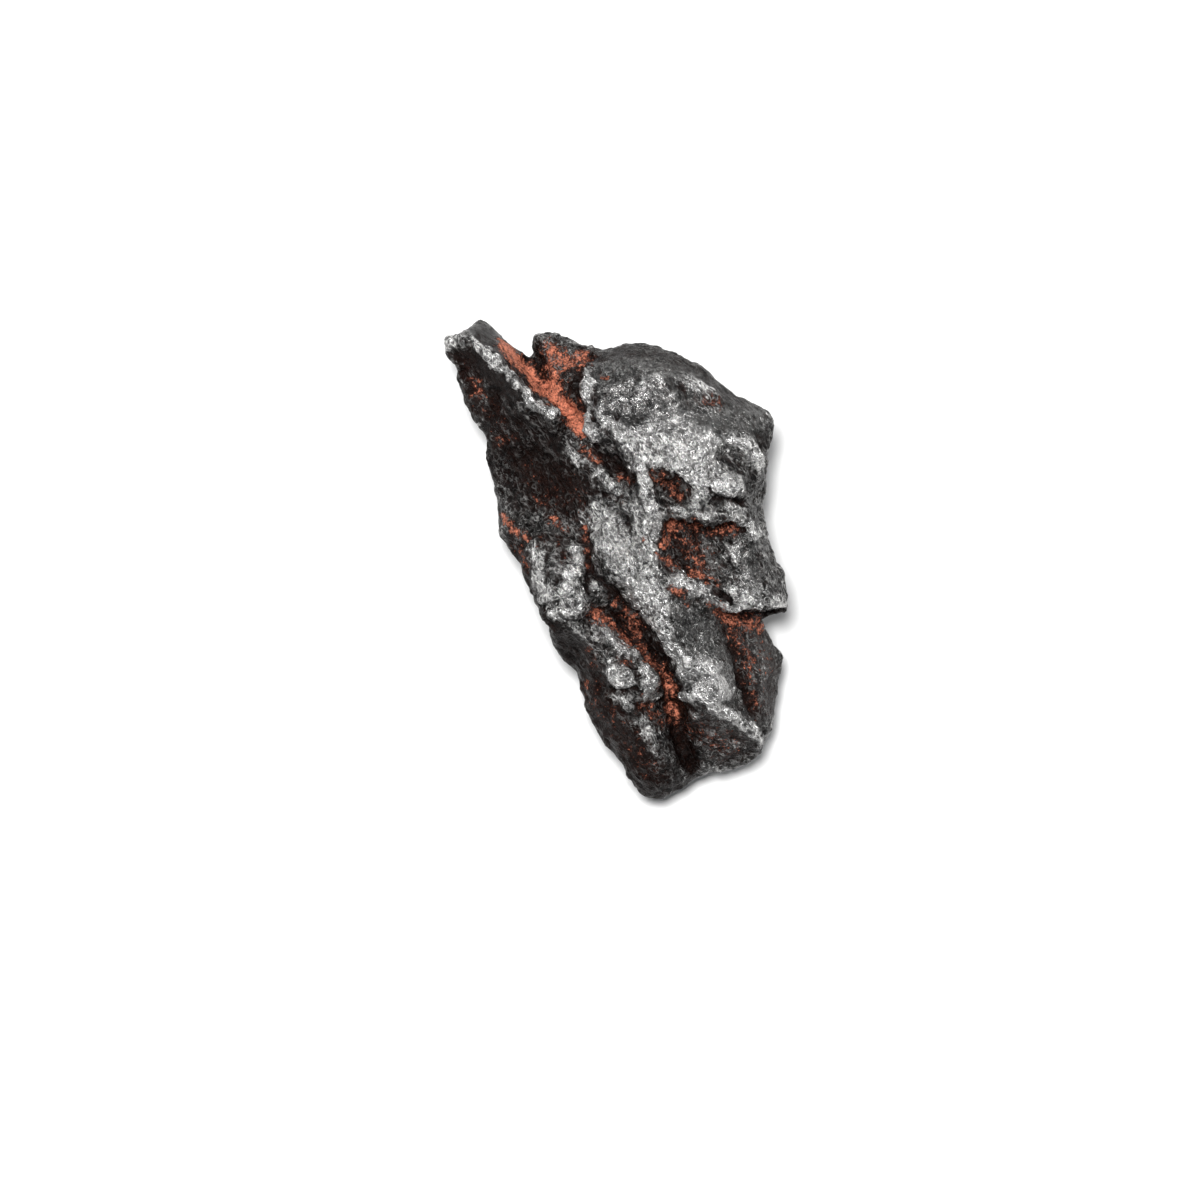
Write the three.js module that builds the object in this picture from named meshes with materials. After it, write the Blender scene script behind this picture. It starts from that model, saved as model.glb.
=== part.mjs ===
// A hand-sized iron meteorite: one jagged lump of iron-nickel with two horns at the top, a domed
// shoulder, a spur that overhangs a notch, and two stubby lobes below with a deep cleft between them.
// Millimetres, +Z up. The lump lies on its back: the face with the pits looks up, +Y runs from the
// lobes to the horns, and the origin is under the middle of its bounding box, on the surface it rests on.
//
// The surface is laid out as a surveyor would lay out a hillside. Break lines run along every ridge,
// ledge and valley floor, a net of triangles is stretched over them, and the net is then refined,
// softened and roughened.
import * as THREE from "three";
import { ImprovedNoise } from "three/addons/math/ImprovedNoise.js";
import { TessellateModifier } from "three/addons/modifiers/TessellateModifier.js";
import { mergeVertices } from "three/addons/utils/BufferGeometryUtils.js";

const RIM_STEP = 0.75; // spacing of the net's points along the rim
const LINE_STEP = 0.7; // and along the break lines
const CLEARANCE = 0.35; // closest that two points of the net come in plan
const ROUND_OVER = { inset: 0.42, drop: 1.0 }; // how the rim turns from the front into the back
const LONGEST_EDGE = 1.7; // of the refined net's triangles
const REFINING_ROUNDS = 12;
const SAME_POINT = 1e-3;
const FAR = 1000; // well outside the lump
const SOFTENING = { rounds: 2, pull: 0.5, push: -0.52 };
const LUMPS = { size: 2.6, height: 0.32 };
const GRAINS = { size: 1.1, height: 0.12 };

// The rim: the outline seen from above, with the height of the edge all the way round.
const RIM = [
  [-14.4, 18.1, 8.2], [-14.2, 18.9, 8.0], [-13.5, 19.1, 7.6], [-12.7, 19.5, 7.0], [-11.9, 20.2, 6.6],
  [-11.2, 20.3, 6.6], [-10.2, 19.6, 6.6], [-9.0, 18.7, 6.4], [-7.8, 17.8, 6.0], [-7.0, 17.2, 5.6],
  [-6.85, 17.5, 5.6], [-7.0, 18.8, 6.2], [-6.5, 19.35, 6.4], [-5.4, 19.35, 6.4], [-4.0, 18.95, 6.4],
  [-2.2, 18.3, 6.6], [-1.1, 17.9, 7.4], [0.2, 18.15, 8.2], [1.6, 18.5, 8.6], [3.1, 18.2, 8.9],
  [5.0, 17.5, 9.0], [7.0, 16.7, 9.0], [8.4, 15.6, 9.0], [10.0, 14.2, 9.0], [12.0, 13.0, 9.0],
  [13.0, 11.8, 9.0], [13.05, 10.4, 8.8], [12.8, 8.2, 8.6], [12.6, 6.0, 8.2], [12.5, 4.0, 8.0],
  [12.9, 2.0, 8.2], [13.6, 0.2, 8.6], [14.1, -1.3, 9.0], [14.5, -3.3, 9.2], [14.1, -4.3, 9.0],
  [13.1, -4.65, 8.2], [12.35, -4.85, 6.8], [12.8, -5.5, 5.8], [13.7, -6.8, 5.4], [14.3, -8.4, 5.0],
  [14.0, -10.0, 4.9], [13.8, -11.8, 4.8], [13.4, -14.0, 4.8], [12.6, -16.3, 4.8], [11.6, -17.3, 4.4],
  [9.6, -17.7, 4.0], [7.4, -18.3, 3.8], [5.6, -19.4, 3.8], [3.9, -20.3, 4.0], [2.4, -20.0, 4.4],
  [0.9, -18.4, 4.8], [0.4, -17.1, 5.0], [-1.1, -14.9, 5.2], [-2.3, -12.9, 5.4], [-3.1, -10.5, 5.6],
  [-3.2, -9.5, 6.0], [-4.2, -8.5, 6.2], [-5.5, -6.4, 6.6], [-6.3, -4.5, 7.0], [-7.4, -1.7, 7.2],
  [-8.5, 0.5, 6.8], [-9.8, 2.0, 6.4], [-9.9, 3.6, 6.4], [-10.2, 5.6, 6.2], [-10.8, 8.5, 6.2],
  [-11.0, 10.6, 6.4], [-12.2, 12.6, 6.8], [-13.1, 14.2, 7.2], [-13.7, 16.0, 7.6], [-14.4, 17.3, 8.0],
];

// The front, from the horns down to the lobes.
const FRONT = {
  horn: [
    [
      [-13.6, 18.3, 10.0], [-12.6, 18.5, 10.3], [-11.6, 18.1, 10.9],
      [-9.4, 16.0, 12.2], [-7.1, 13.6, 13.3], [-4.9, 11.9, 13.7],
    ],
    [[-11.3, 19.5, 8.9], [-9.9, 18.2, 9.2], [-8.3, 16.6, 9.4]],
    [[-10.9, 17.0, 10.6], [-10.2, 15.2, 10.2], [-9.9, 13.4, 9.8], [-10.8, 11.6, 8.2]],
    [[-12.9, 17.2, 9.2], [-12.7, 15.6, 8.0]],
    [[-11.7, 14.4, 8.6], [-11.5, 13.0, 8.3]],
  ],
  rustyCleft: [[[-7.4, 16.7, 7.0], [-5.9, 14.8, 8.3], [-4.3, 12.9, 9.8], [-2.9, 11.2, 11.6]]],
  backHorn: [
    [[-6.4, 17.0, 6.2], [-6.1, 15.8, 7.0]],
    [[-6.3, 18.7, 7.6], [-5.7, 17.0, 8.5], [-5.1, 15.6, 9.3]],
    [[-4.6, 18.2, 8.0], [-3.0, 17.7, 7.8]],
    [[-4.4, 16.6, 8.8], [-3.9, 15.0, 9.6]],
    [[-1.9, 17.3, 7.9], [-3.1, 16.1, 8.9]],
  ],
  shoulder: [
    [
      [-0.9, 17.3, 10.2], [-2.3, 16.0, 11.4], [-3.0, 14.8, 12.0],
      [-2.9, 13.0, 12.7], [-2.4, 11.4, 13.3], [-1.5, 10.2, 13.8],
    ],
    [[0.6, 16.8, 11.6], [3.2, 16.4, 12.0], [6.0, 15.4, 12.1], [8.6, 13.8, 11.7], [11.2, 12.2, 11.3]],
    [[-1.0, 14.0, 12.9], [-0.6, 12.6, 12.9], [0.4, 11.2, 13.3]],
    [[1.8, 14.6, 13.3], [4.2, 14.2, 13.5]],
    [[2.0, 12.2, 13.2], [3.6, 11.8, 13.6]],
    [[5.9, 13.6, 12.7], [6.6, 12.0, 13.2]],
    [[8.2, 11.8, 12.8], [10.4, 11.2, 12.7]],
    [
      [-0.3, 11.5, 13.9], [0.9, 10.0, 14.6], [1.8, 8.2, 15.1],
      [2.4, 6.2, 15.3], [2.9, 4.4, 15.1], [3.3, 2.6, 14.8],
    ],
    [
      [3.6, 10.2, 14.6], [6.0, 10.3, 14.9], [8.0, 9.9, 14.4],
      [10.2, 9.8, 13.9], [11.5, 8.6, 13.2], [11.8, 6.6, 12.4],
    ],
    [[4.0, 8.4, 15.2], [6.6, 7.8, 15.4]],
    [[8.4, 8.6, 13.9], [10.2, 7.8, 13.2], [10.9, 6.4, 13.0]],
    [[8.4, 6.9, 15.4], [9.6, 6.9, 15.4], [9.4, 5.8, 15.6], [8.4, 5.8, 15.5]],
    [[8.2, 4.5, 14.4], [9.4, 4.4, 14.2], [10.6, 4.6, 13.4]],
    [[11.6, 4.2, 12.6], [11.6, 2.6, 12.6]],
  ],
  smallPit: [
    [[3.2, 7.0, 15.0], [4.7, 7.0, 15.2], [6.1, 6.2, 15.2]],
    [[3.7, 6.2, 13.9], [4.9, 6.0, 13.6], [5.5, 5.3, 13.9]],
    [[3.5, 4.9, 14.7], [4.6, 4.3, 14.8], [6.2, 4.6, 15.0]],
  ],
  largePit: [
    [[4.4, 3.7, 15.0], [6.2, 3.2, 14.9], [8.2, 3.4, 14.6], [10.4, 3.2, 13.6]],
    [[4.9, 2.8, 12.8], [6.3, 2.6, 12.0], [8.2, 2.8, 11.8], [10.2, 2.6, 12.2]],
    [[4.1, 1.6, 13.8], [4.1, 0.2, 13.7]],
    [[5.4, 1.3, 12.2], [6.8, 1.2, 11.6], [8.4, 1.6, 11.9]],
    [[5.6, -0.2, 12.2], [6.8, -1.2, 11.8], [8.4, -2.5, 11.8], [10.0, -3.5, 12.0]],
  ],
  spur: [
    [[9.6, 0.6, 12.4], [11.2, 1.4, 12.8], [12.4, 0.6, 12.0]],
    [[9.2, -0.9, 12.2], [10.8, -1.4, 12.5], [12.8, -1.2, 11.8]],
    [[11.0, -2.9, 12.6], [12.3, -2.9, 12.2], [13.4, -2.9, 11.4]],
    [[9.2, -4.1, 12.3], [10.6, -3.95, 12.4], [12.0, -3.95, 12.1], [13.3, -3.8, 11.3]],
    [[9.2, -4.75, 9.8], [10.6, -4.75, 9.0], [11.7, -4.75, 8.2]],
  ],
  column: [
    [[4.6, -1.2, 13.9], [6.2, -1.9, 13.8], [7.6, -2.9, 13.5], [8.5, -3.6, 13.0]],
    [
      [3.6, -1.4, 14.5], [3.9, -3.4, 14.5], [4.4, -5.6, 14.4], [5.0, -7.3, 14.1],
      [5.8, -8.4, 13.8], [5.8, -10.0, 12.8], [5.5, -11.3, 11.6],
    ],
    [[2.0, -4.8, 12.8], [2.7, -6.1, 12.8], [3.7, -7.3, 12.7], [4.9, -8.2, 12.6], [5.1, -9.8, 11.2]],
    [[6.4, -9.6, 12.7], [6.2, -11.2, 11.8]],
    [[7.0, -8.6, 13.9], [7.8, -9.4, 14.1], [8.5, -10.6, 13.6]],
    [[5.8, -5.2, 13.9], [7.4, -5.2, 12.8]],
    [[7.4, -7.0, 13.0], [8.6, -8.4, 12.3], [9.4, -10.0, 11.8]],
    [[6.6, -11.0, 12.8], [8.0, -12.0, 12.8], [10.1, -13.0, 11.5], [12.0, -14.5, 9.2]],
    [[6.6, -13.4, 10.4], [8.2, -14.1, 9.8], [10.4, -14.9, 8.4]],
    [[6.6, -15.9, 6.6], [8.6, -16.5, 6.0], [10.8, -16.2, 6.2]],
  ],
  rightLobe: [
    [[8.9, -5.2, 10.9], [9.8, -7.0, 9.9], [10.3, -9.2, 9.4], [11.2, -11.8, 8.9], [12.4, -14.2, 8.0]],
    [[10.8, -5.7, 8.6], [11.2, -7.6, 8.7], [11.9, -9.8, 8.4], [12.5, -12.2, 7.6]],
    [[12.6, -7.0, 7.2], [13.2, -9.2, 6.9]],
  ],
  centre: [
    [[-1.6, 8.2, 12.8], [-0.4, 7.0, 13.0], [0.9, 6.0, 13.2]],
    [[-2.4, 10.0, 12.3], [-1.2, 8.9, 11.9], [0.2, 7.8, 11.6], [1.3, 7.0, 12.4]],
    [[-1.9, 5.2, 12.0], [-0.4, 5.1, 12.4]],
    [[-1.2, 3.6, 12.6], [0.4, 3.9, 13.4], [1.6, 4.4, 13.9]],
    [[1.2, 2.2, 13.5], [2.4, 1.0, 14.0], [2.2, -0.8, 14.2], [2.4, -2.8, 14.0]],
    [[-1.3, 1.7, 13.0], [-1.2, 0.2, 13.0], [-0.4, -1.4, 13.1], [0.9, -2.6, 12.9], [1.8, -4.0, 12.6]],
    [[-2.1, 2.3, 11.4], [-2.1, 0.6, 11.2], [-1.7, -1.0, 11.2], [-0.2, -2.6, 11.0], [0.8, -3.8, 10.5]],
  ],
  leftHollow: [
    [[-7.8, 12.2, 11.4], [-6.0, 11.0, 11.8], [-4.4, 9.7, 12.1], [-3.1, 8.2, 12.2], [-2.4, 6.6, 12.0]],
    [[-9.4, 11.0, 8.8], [-7.6, 9.8, 9.2], [-5.6, 8.6, 9.8]],
    [[-9.2, 7.6, 7.9], [-7.2, 6.8, 8.2], [-4.8, 6.6, 9.4]],
    [[-8.6, 4.8, 8.0], [-6.6, 4.6, 8.8], [-4.4, 4.4, 10.0], [-3.0, 4.2, 11.0]],
  ],
  leftLump: [
    [[-9.1, 3.2, 8.2], [-7.4, 2.2, 9.4], [-7.0, 0.6, 9.8], [-7.0, -0.8, 9.6]],
    [[-8.6, 1.6, 7.2], [-7.8, 0.2, 7.8]],
    [[-6.2, 2.4, 9.8], [-4.4, 2.6, 10.3]],
    [[-6.3, 0.6, 10.9], [-6.1, -1.4, 11.5], [-6.2, -3.2, 11.4]],
    [[-4.8, 0.2, 11.2], [-4.6, -1.8, 12.4], [-4.2, -3.8, 12.6]],
    [[-3.2, 0.2, 11.9], [-2.9, -1.6, 12.4], [-2.6, -3.6, 12.2]],
    [
      [-5.8, -4.6, 11.0], [-4.7, -5.4, 11.4], [-3.2, -5.7, 11.6],
      [-2.0, -6.7, 11.2], [-1.6, -8.0, 10.8],
    ],
    [[-4.8, -6.5, 8.8], [-3.4, -7.3, 8.6], [-2.4, -8.4, 8.8]],
  ],
  leftCleft: [
    [[-1.4, -4.6, 10.6], [-0.2, -4.8, 10.2]],
    [
      [0.5, -4.9, 9.4], [1.2, -6.0, 9.2], [2.4, -6.7, 9.0],
      [3.6, -8.1, 8.8], [4.4, -9.6, 8.0], [4.4, -11.4, 7.2],
    ],
    [[5.0, -12.6, 6.0], [5.3, -14.4, 5.6], [6.0, -16.6, 5.2]],
  ],
  crust: [
    [[-1.0, -6.2, 11.2], [0.2, -7.0, 11.0], [1.8, -7.8, 10.9], [2.8, -9.2, 11.2], [3.0, -10.8, 10.9]],
    [[-0.6, -8.8, 11.3], [0.4, -9.4, 11.5], [1.2, -10.2, 11.2]],
    [[-1.2, -10.2, 9.2], [0.0, -11.2, 9.6], [1.3, -11.8, 10.0], [2.4, -12.2, 9.0]],
    [[3.6, -11.9, 7.4]],
  ],
  leftLobe: [
    [[-2.4, -10.4, 7.6], [-1.7, -12.4, 7.8], [-0.6, -14.2, 7.8], [0.8, -16.2, 7.4], [1.6, -17.8, 7.0]],
    [[0.4, -13.0, 9.2], [1.8, -14.4, 9.2], [3.0, -15.8, 9.0], [4.0, -17.4, 8.0], [3.6, -18.8, 6.8]],
    [[3.6, -13.6, 8.6], [4.6, -15.2, 7.8], [5.4, -17.0, 6.6]],
  ],
};

// The back, which the lump lies on. Heights under zero are cut flat where it rests.
const BACK = {
  restSpot: [
    [[-3.2, 2.6, -0.2], [-0.6, 4.6, -0.3], [2.6, 4.8, -0.3], [5.2, 3.0, -0.2]],
    [[-3.4, -0.6, -0.2], [0.4, 0.4, -0.5], [4.2, -0.4, -0.4], [5.8, -1.4, -0.1]],
    [[-1.4, -3.2, -0.2], [1.6, -4.6, -0.3], [4.2, -4.2, -0.1]],
  ],
  shoulder: [
    [[-0.6, 7.4, 1.6], [1.4, 10.4, 3.2], [2.6, 13.2, 4.4], [2.4, 15.8, 5.8]],
    [[3.6, 7.2, 0.8], [6.2, 9.6, 1.8], [8.4, 12.2, 3.6]],
    [[7.6, 5.2, 0.9], [9.6, 6.8, 2.4], [11.0, 9.4, 4.4]],
    [[8.2, 2.2, 1.0], [10.6, 2.8, 3.6], [11.2, 0.6, 4.2]],
    [[5.4, 13.6, 3.4], [6.4, 15.2, 5.4]],
  ],
  horns: [
    [[-4.4, 5.8, 1.4], [-6.2, 8.8, 2.2], [-8.4, 12.2, 3.0], [-10.8, 15.6, 4.2], [-12.6, 17.8, 5.6]],
    [[-2.6, 10.0, 3.8], [-4.8, 13.2, 4.6], [-5.6, 16.2, 4.4], [-3.4, 17.0, 4.6]],
    [[-9.2, 8.4, 4.0], [-10.4, 11.8, 4.6]],
    [[-1.0, 13.6, 4.8], [-0.4, 16.2, 5.8]],
  ],
  flank: [
    [[-6.0, 2.8, 1.8], [-7.8, 4.6, 3.6], [-8.8, 6.2, 4.4]],
    [[-5.4, -0.8, 2.0], [-6.6, 0.8, 3.8]],
    [[-4.0, -4.2, 2.8], [-3.2, -6.8, 3.8]],
    [[8.0, -1.6, 2.4], [10.4, -2.4, 4.6], [12.4, -2.4, 6.2]],
  ],
  lobes: [
    [[6.6, -4.6, 0.8], [8.6, -7.2, 0.9], [10.2, -10.4, 1.0], [10.6, -13.6, 1.6]],
    [[10.8, -6.4, 2.4], [12.4, -8.8, 2.8], [12.4, -11.8, 2.8]],
    [[4.2, -7.2, 1.6], [5.2, -10.4, 2.6], [6.2, -13.4, 3.0], [6.8, -16.0, 2.6]],
    [[0.6, -7.4, 1.0], [0.8, -10.4, 1.0], [1.8, -13.8, 1.2], [3.0, -17.0, 1.9]],
    [[-1.6, -9.6, 3.0], [-0.8, -12.4, 3.2], [0.6, -15.6, 3.4]],
    [[8.8, -15.6, 2.0]],
  ],
};

// A smooth line through the given points, as points about one step apart.
function trace(points, step, closed = false) {
  const vectors = points.map((p) => new THREE.Vector3(...p));
  if (vectors.length < 2) return vectors;
  const curve = new THREE.CatmullRomCurve3(vectors, closed, "centripetal");
  const pieces = Math.max(1, Math.round(curve.getLength() / step));
  const spaced = curve.getSpacedPoints(pieces);
  return closed ? spaced.slice(0, -1) : spaced;
}

function distanceInPlan(a, b) {
  return Math.hypot(a.x - b.x, a.y - b.y);
}

function isInside(rim, x, y) {
  let inside = false;
  rim.forEach((a, i) => {
    const b = rim[(i + 1) % rim.length];
    if (a.y > y !== b.y > y && x < a.x + ((y - a.y) / (b.y - a.y)) * (b.x - a.x)) inside = !inside;
  });
  return inside;
}

// The rim moved inwards and up or down, so that the edge turns over in two steps.
function roundOver(rim, side) {
  return rim.map((point, i) => {
    const before = rim[(i + rim.length - 1) % rim.length];
    const after = rim[(i + 1) % rim.length];
    const inwards = new THREE.Vector3(before.y - after.y, after.x - before.x, 0);
    return point.clone().add(inwards.setLength(ROUND_OVER.inset)).setZ(point.z + side * ROUND_OVER.drop);
  });
}

// Does the circle through a, b and c hold p? The corners run anticlockwise.
function circleHolds(a, b, c, p) {
  const [ax, ay, bx, by, cx, cy] = [a.x - p.x, a.y - p.y, b.x - p.x, b.y - p.y, c.x - p.x, c.y - p.y];
  const [aa, bb, cc] = [ax * ax + ay * ay, bx * bx + by * by, cx * cx + cy * cy];
  return ax * (by * cc - bb * cy) - ay * (bx * cc - bb * cx) + aa * (bx * cy - by * cx) > 0;
}

// Delaunay triangles over points in plan, one point at a time.
function triangulate(points) {
  const farCorners = [[-1, -1], [1, -1], [0, 1]].map(([x, y]) => new THREE.Vector3(x * FAR, y * FAR, 0));
  const net = [...points, ...farCorners];
  let triangles = [[points.length, points.length + 1, points.length + 2]];
  points.forEach((point, index) => {
    const kept = [];
    const openEdges = new Map();
    for (const triangle of triangles) {
      const [a, b, c] = triangle;
      if (!circleHolds(net[a], net[b], net[c], point)) {
        kept.push(triangle);
        continue;
      }
      for (const [from, to] of [[a, b], [b, c], [c, a]]) {
        if (!openEdges.delete(`${to},${from}`)) openEdges.set(`${from},${to}`, [from, to]);
      }
    }
    triangles = [...kept, ...[...openEdges.values()].map(([from, to]) => [from, to, index])];
  });
  return triangles.filter((triangle) => triangle.every((corner) => corner < points.length));
}

// One side of the lump, as triangles of points. A chord from rim to rim would be shared with the other
// side, so it gets a point of its own in the middle.
function skin(rim, lines, side) {
  const points = [...rim];
  const offer = (point) => {
    const room = points.every((other) => distanceInPlan(point, other) > CLEARANCE);
    if (room && isInside(rim, point.x, point.y)) points.push(point);
  };
  const breakLines = Object.values(lines).flat();
  breakLines.forEach((line) => trace(line, LINE_STEP).forEach(offer));
  roundOver(rim, side).forEach(offer);

  for (;;) {
    const inside = triangulate(points).filter(([a, b, c]) => {
      const middle = points[a].clone().add(points[b]).add(points[c]).divideScalar(3);
      return isInside(rim, middle.x, middle.y);
    });
    const chords = new Map();
    for (const [a, b, c] of inside) {
      for (const [from, to] of [[a, b], [b, c], [c, a]]) {
        const gap = Math.abs(from - to);
        const alongRim = gap === 1 || gap === rim.length - 1;
        if (from < to && to < rim.length && !alongRim) chords.set(`${from},${to}`, [from, to]);
      }
    }
    if (chords.size === 0) return inside.map((triangle) => triangle.map((corner) => points[corner]));
    for (const [from, to] of chords.values()) {
      const middle = points[from].clone().add(points[to]).divideScalar(2);
      points.push(middle.setZ(middle.z + side * ROUND_OVER.drop));
    }
  }
}

function closedShell() {
  const rim = trace(RIM, RIM_STEP, true).reverse();
  const front = skin(rim, FRONT, 1);
  const back = skin(rim, BACK, -1).map(([a, b, c]) => [a, c, b]);
  const corners = [...front, ...back].flat();
  return new THREE.BufferGeometry().setFromPoints(corners);
}

function neighboursOf(geometry) {
  const neighbours = Array.from({ length: geometry.attributes.position.count }, () => new Set());
  const corners = geometry.index.array;
  for (let i = 0; i < corners.length; i += 3) {
    const [a, b, c] = corners.slice(i, i + 3);
    neighbours[a].add(b).add(c);
    neighbours[b].add(c).add(a);
    neighbours[c].add(a).add(b);
  }
  return neighbours.map((set) => [...set]);
}

// Pulls each point towards its neighbours and then pushes it back by a little more, which rounds the
// edges without shrinking the lump.
function soften(geometry) {
  const position = geometry.attributes.position;
  const neighbours = neighboursOf(geometry);
  const at = (index) => new THREE.Vector3().fromBufferAttribute(position, index);
  for (let round = 0; round < SOFTENING.rounds; round += 1) {
    for (const amount of [SOFTENING.pull, SOFTENING.push]) {
      const moved = neighbours.map((around, index) => {
        const sum = around.reduce((total, other) => total.add(at(other)), new THREE.Vector3());
        return at(index).lerp(sum.divideScalar(around.length), amount);
      });
      moved.forEach((point, index) => position.setXYZ(index, point.x, point.y, point.z));
    }
  }
}

// Knocks the flat facets out of true, along their normals, with soft lumps and finer grains.
function roughen(geometry) {
  geometry.computeVertexNormals();
  const noise = new ImprovedNoise();
  const { position, normal } = geometry.attributes;
  for (let i = 0; i < position.count; i += 1) {
    const point = new THREE.Vector3().fromBufferAttribute(position, i);
    const outwards = new THREE.Vector3().fromBufferAttribute(normal, i);
    const height = [LUMPS, GRAINS].reduce((sum, { size, height: rise }) => {
      const at = point.clone().divideScalar(size);
      return sum + rise * noise.noise(at.x, at.y, at.z);
    }, 0);
    point.addScaledVector(outwards, height);
    position.setXYZ(i, point.x, point.y, point.z);
  }
  geometry.deleteAttribute("normal");
}

// Cuts the lump flat where it rests.
function cutFlat(geometry) {
  const { position } = geometry.attributes;
  for (let i = 0; i < position.count; i += 1) position.setZ(i, Math.max(0, position.getZ(i)));
}

// Moves the lump so that the middle of its box is over the origin.
function centre(geometry) {
  geometry.computeBoundingBox();
  const middle = geometry.boundingBox.getCenter(new THREE.Vector3());
  geometry.translate(-middle.x, -middle.y, 0);
}

function meteorite() {
  const refined = new TessellateModifier(LONGEST_EDGE, REFINING_ROUNDS).modify(closedShell());
  const geometry = mergeVertices(refined, SAME_POINT);
  soften(geometry);
  roughen(geometry);
  cutFlat(geometry);
  centre(geometry);
  const iron = new THREE.MeshStandardMaterial({ color: 0x4a4a48, roughness: 0.5, metalness: 0.9 });
  const mesh = new THREE.Mesh(geometry, iron);
  mesh.name = "meteorite";
  return mesh;
}

const group = new THREE.Group();
group.add(meteorite());

export default group;
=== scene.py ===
# %% [markdown]
# # An iron meteorite, lying on its back
#
# A jagged lump of iron about 40 mm long. It has two horns at the top, a domed shoulder, two square pits
# on the right, a spur that overhangs a notch, and two stubby lobes below with a deep cleft between them.
# The metal is dark and grainy, worn bright on its crests and rusty in its cracks; its colour also carries
# painted highlights on the crests and painted shade in the cracks, hollows and faces that turn away.
#
# A lump like this could be scanned, sculpted by hand, or grown from noise alone. Here the solid of the
# part is carved by named strokes, because each stroke can be read, found on the real lump and moved by
# itself.

# %% [markdown]
# ## The frame
# The imported solid comes in first. Its box is kept, so that the finished surface can be compared with it.

import math

import bmesh
import bpy
import numpy as np
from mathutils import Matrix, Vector, noise


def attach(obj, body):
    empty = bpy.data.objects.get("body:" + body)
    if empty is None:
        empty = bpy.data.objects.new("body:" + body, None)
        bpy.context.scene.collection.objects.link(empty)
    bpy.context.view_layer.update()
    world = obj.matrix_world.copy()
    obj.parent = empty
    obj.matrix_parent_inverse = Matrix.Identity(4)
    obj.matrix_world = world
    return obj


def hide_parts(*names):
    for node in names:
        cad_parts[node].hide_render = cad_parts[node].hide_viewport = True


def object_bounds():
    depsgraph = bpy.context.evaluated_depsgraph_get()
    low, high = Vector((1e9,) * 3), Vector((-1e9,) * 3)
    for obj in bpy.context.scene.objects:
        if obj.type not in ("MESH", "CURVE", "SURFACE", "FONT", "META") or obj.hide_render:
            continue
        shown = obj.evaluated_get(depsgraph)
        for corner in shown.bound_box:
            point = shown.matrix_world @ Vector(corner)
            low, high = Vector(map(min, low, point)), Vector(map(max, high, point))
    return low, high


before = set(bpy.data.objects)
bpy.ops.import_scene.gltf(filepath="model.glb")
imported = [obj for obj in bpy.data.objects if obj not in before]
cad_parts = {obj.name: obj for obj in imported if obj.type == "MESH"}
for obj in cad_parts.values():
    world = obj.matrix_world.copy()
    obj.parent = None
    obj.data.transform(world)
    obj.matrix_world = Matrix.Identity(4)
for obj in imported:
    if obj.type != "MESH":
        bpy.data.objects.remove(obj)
CAD_BOX = [list(corner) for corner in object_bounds()]
print("CAD box, metres:", CAD_BOX)

# %% [markdown]
# ## The camera
# The photograph looks straight down on the lump, with the horns at the top. A camera can be placed by
# eye, but here its lens is worked out from the height it hangs at and the width it takes in, so that both
# are real sizes. The lump sits a little up and right of the middle, as in the photograph.

# %% Hang the camera
MM = 0.001
VIEW_WIDTH = 100 * MM
CAMERA_RISE = 300 * MM
SENSOR_WIDTH = 36
LOOK_AT = Vector((-1.32 * MM, -3.35 * MM, 10 * MM))

camera_data = bpy.data.cameras.new("camera")
camera_data.sensor_width = SENSOR_WIDTH
camera_data.lens = SENSOR_WIDTH * CAMERA_RISE / VIEW_WIDTH
camera_data.clip_start = 10 * MM
camera_data.clip_end = 20
camera = bpy.data.objects.new("camera", camera_data)
camera.location = LOOK_AT + Vector((0, 0, CAMERA_RISE))
bpy.context.collection.objects.link(camera)
bpy.context.scene.camera = camera
print("lens, mm:", round(camera_data.lens, 1))

# %% [markdown]
# ## A finer net
# The real lump has forms that are finer than the solid's triangles. A Subdivision Surface modifier would
# give a finer net, but it would also shrink the horns. So an operator cuts each side in four, which
# leaves the shape alone. It works on a copy of the solid's mesh, whose loose triangles are joined first.

# %% Cut the net
SAME_POINT = 1e-6
CUTS = 3

meteorite_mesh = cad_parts["meteorite"].data.copy()
meteorite_mesh.name = "iron_meteorite"
meteorite_mesh.materials.clear()
net = bmesh.new()
net.from_mesh(meteorite_mesh)
bmesh.ops.remove_doubles(net, verts=net.verts, dist=SAME_POINT)
bmesh.ops.subdivide_edges(net, edges=net.edges, cuts=CUTS, use_grid_fill=True)
bmesh.ops.triangulate(net, faces=net.faces)
bmesh.ops.recalc_face_normals(net, faces=net.faces)
net.to_mesh(meteorite_mesh)
net.free()

# %% [markdown]
# ## Points as arrays
# About 70,000 points are going to move. Moving them one by one in Python is slow, so their places, in
# millimetres, and the edges and triangles between them are read into numpy arrays.

# %% Read the points
points = np.empty((len(meteorite_mesh.vertices), 3))
meteorite_mesh.vertices.foreach_get("co", points.ravel())
points = points / MM
edges = np.empty((len(meteorite_mesh.edges), 2), dtype=int)
meteorite_mesh.edges.foreach_get("vertices", edges.ravel())
triangles = np.empty((len(meteorite_mesh.polygons), 3), dtype=int)
meteorite_mesh.polygons.foreach_get("vertices", triangles.ravel())
print("triangles:", len(triangles), "points:", len(points))

# %% Neighbours and outward directions
NO_LENGTH = 1e-12


def spread(values):
    """The mean of each point's neighbours, along the edges."""
    total = np.zeros_like(values)
    count = np.zeros(len(values))
    for here, there in ((0, 1), (1, 0)):
        np.add.at(total, edges[:, here], values[edges[:, there]])
        np.add.at(count, edges[:, here], 1)
    return total / (count[:, None] if values.ndim == 2 else count)


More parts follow.
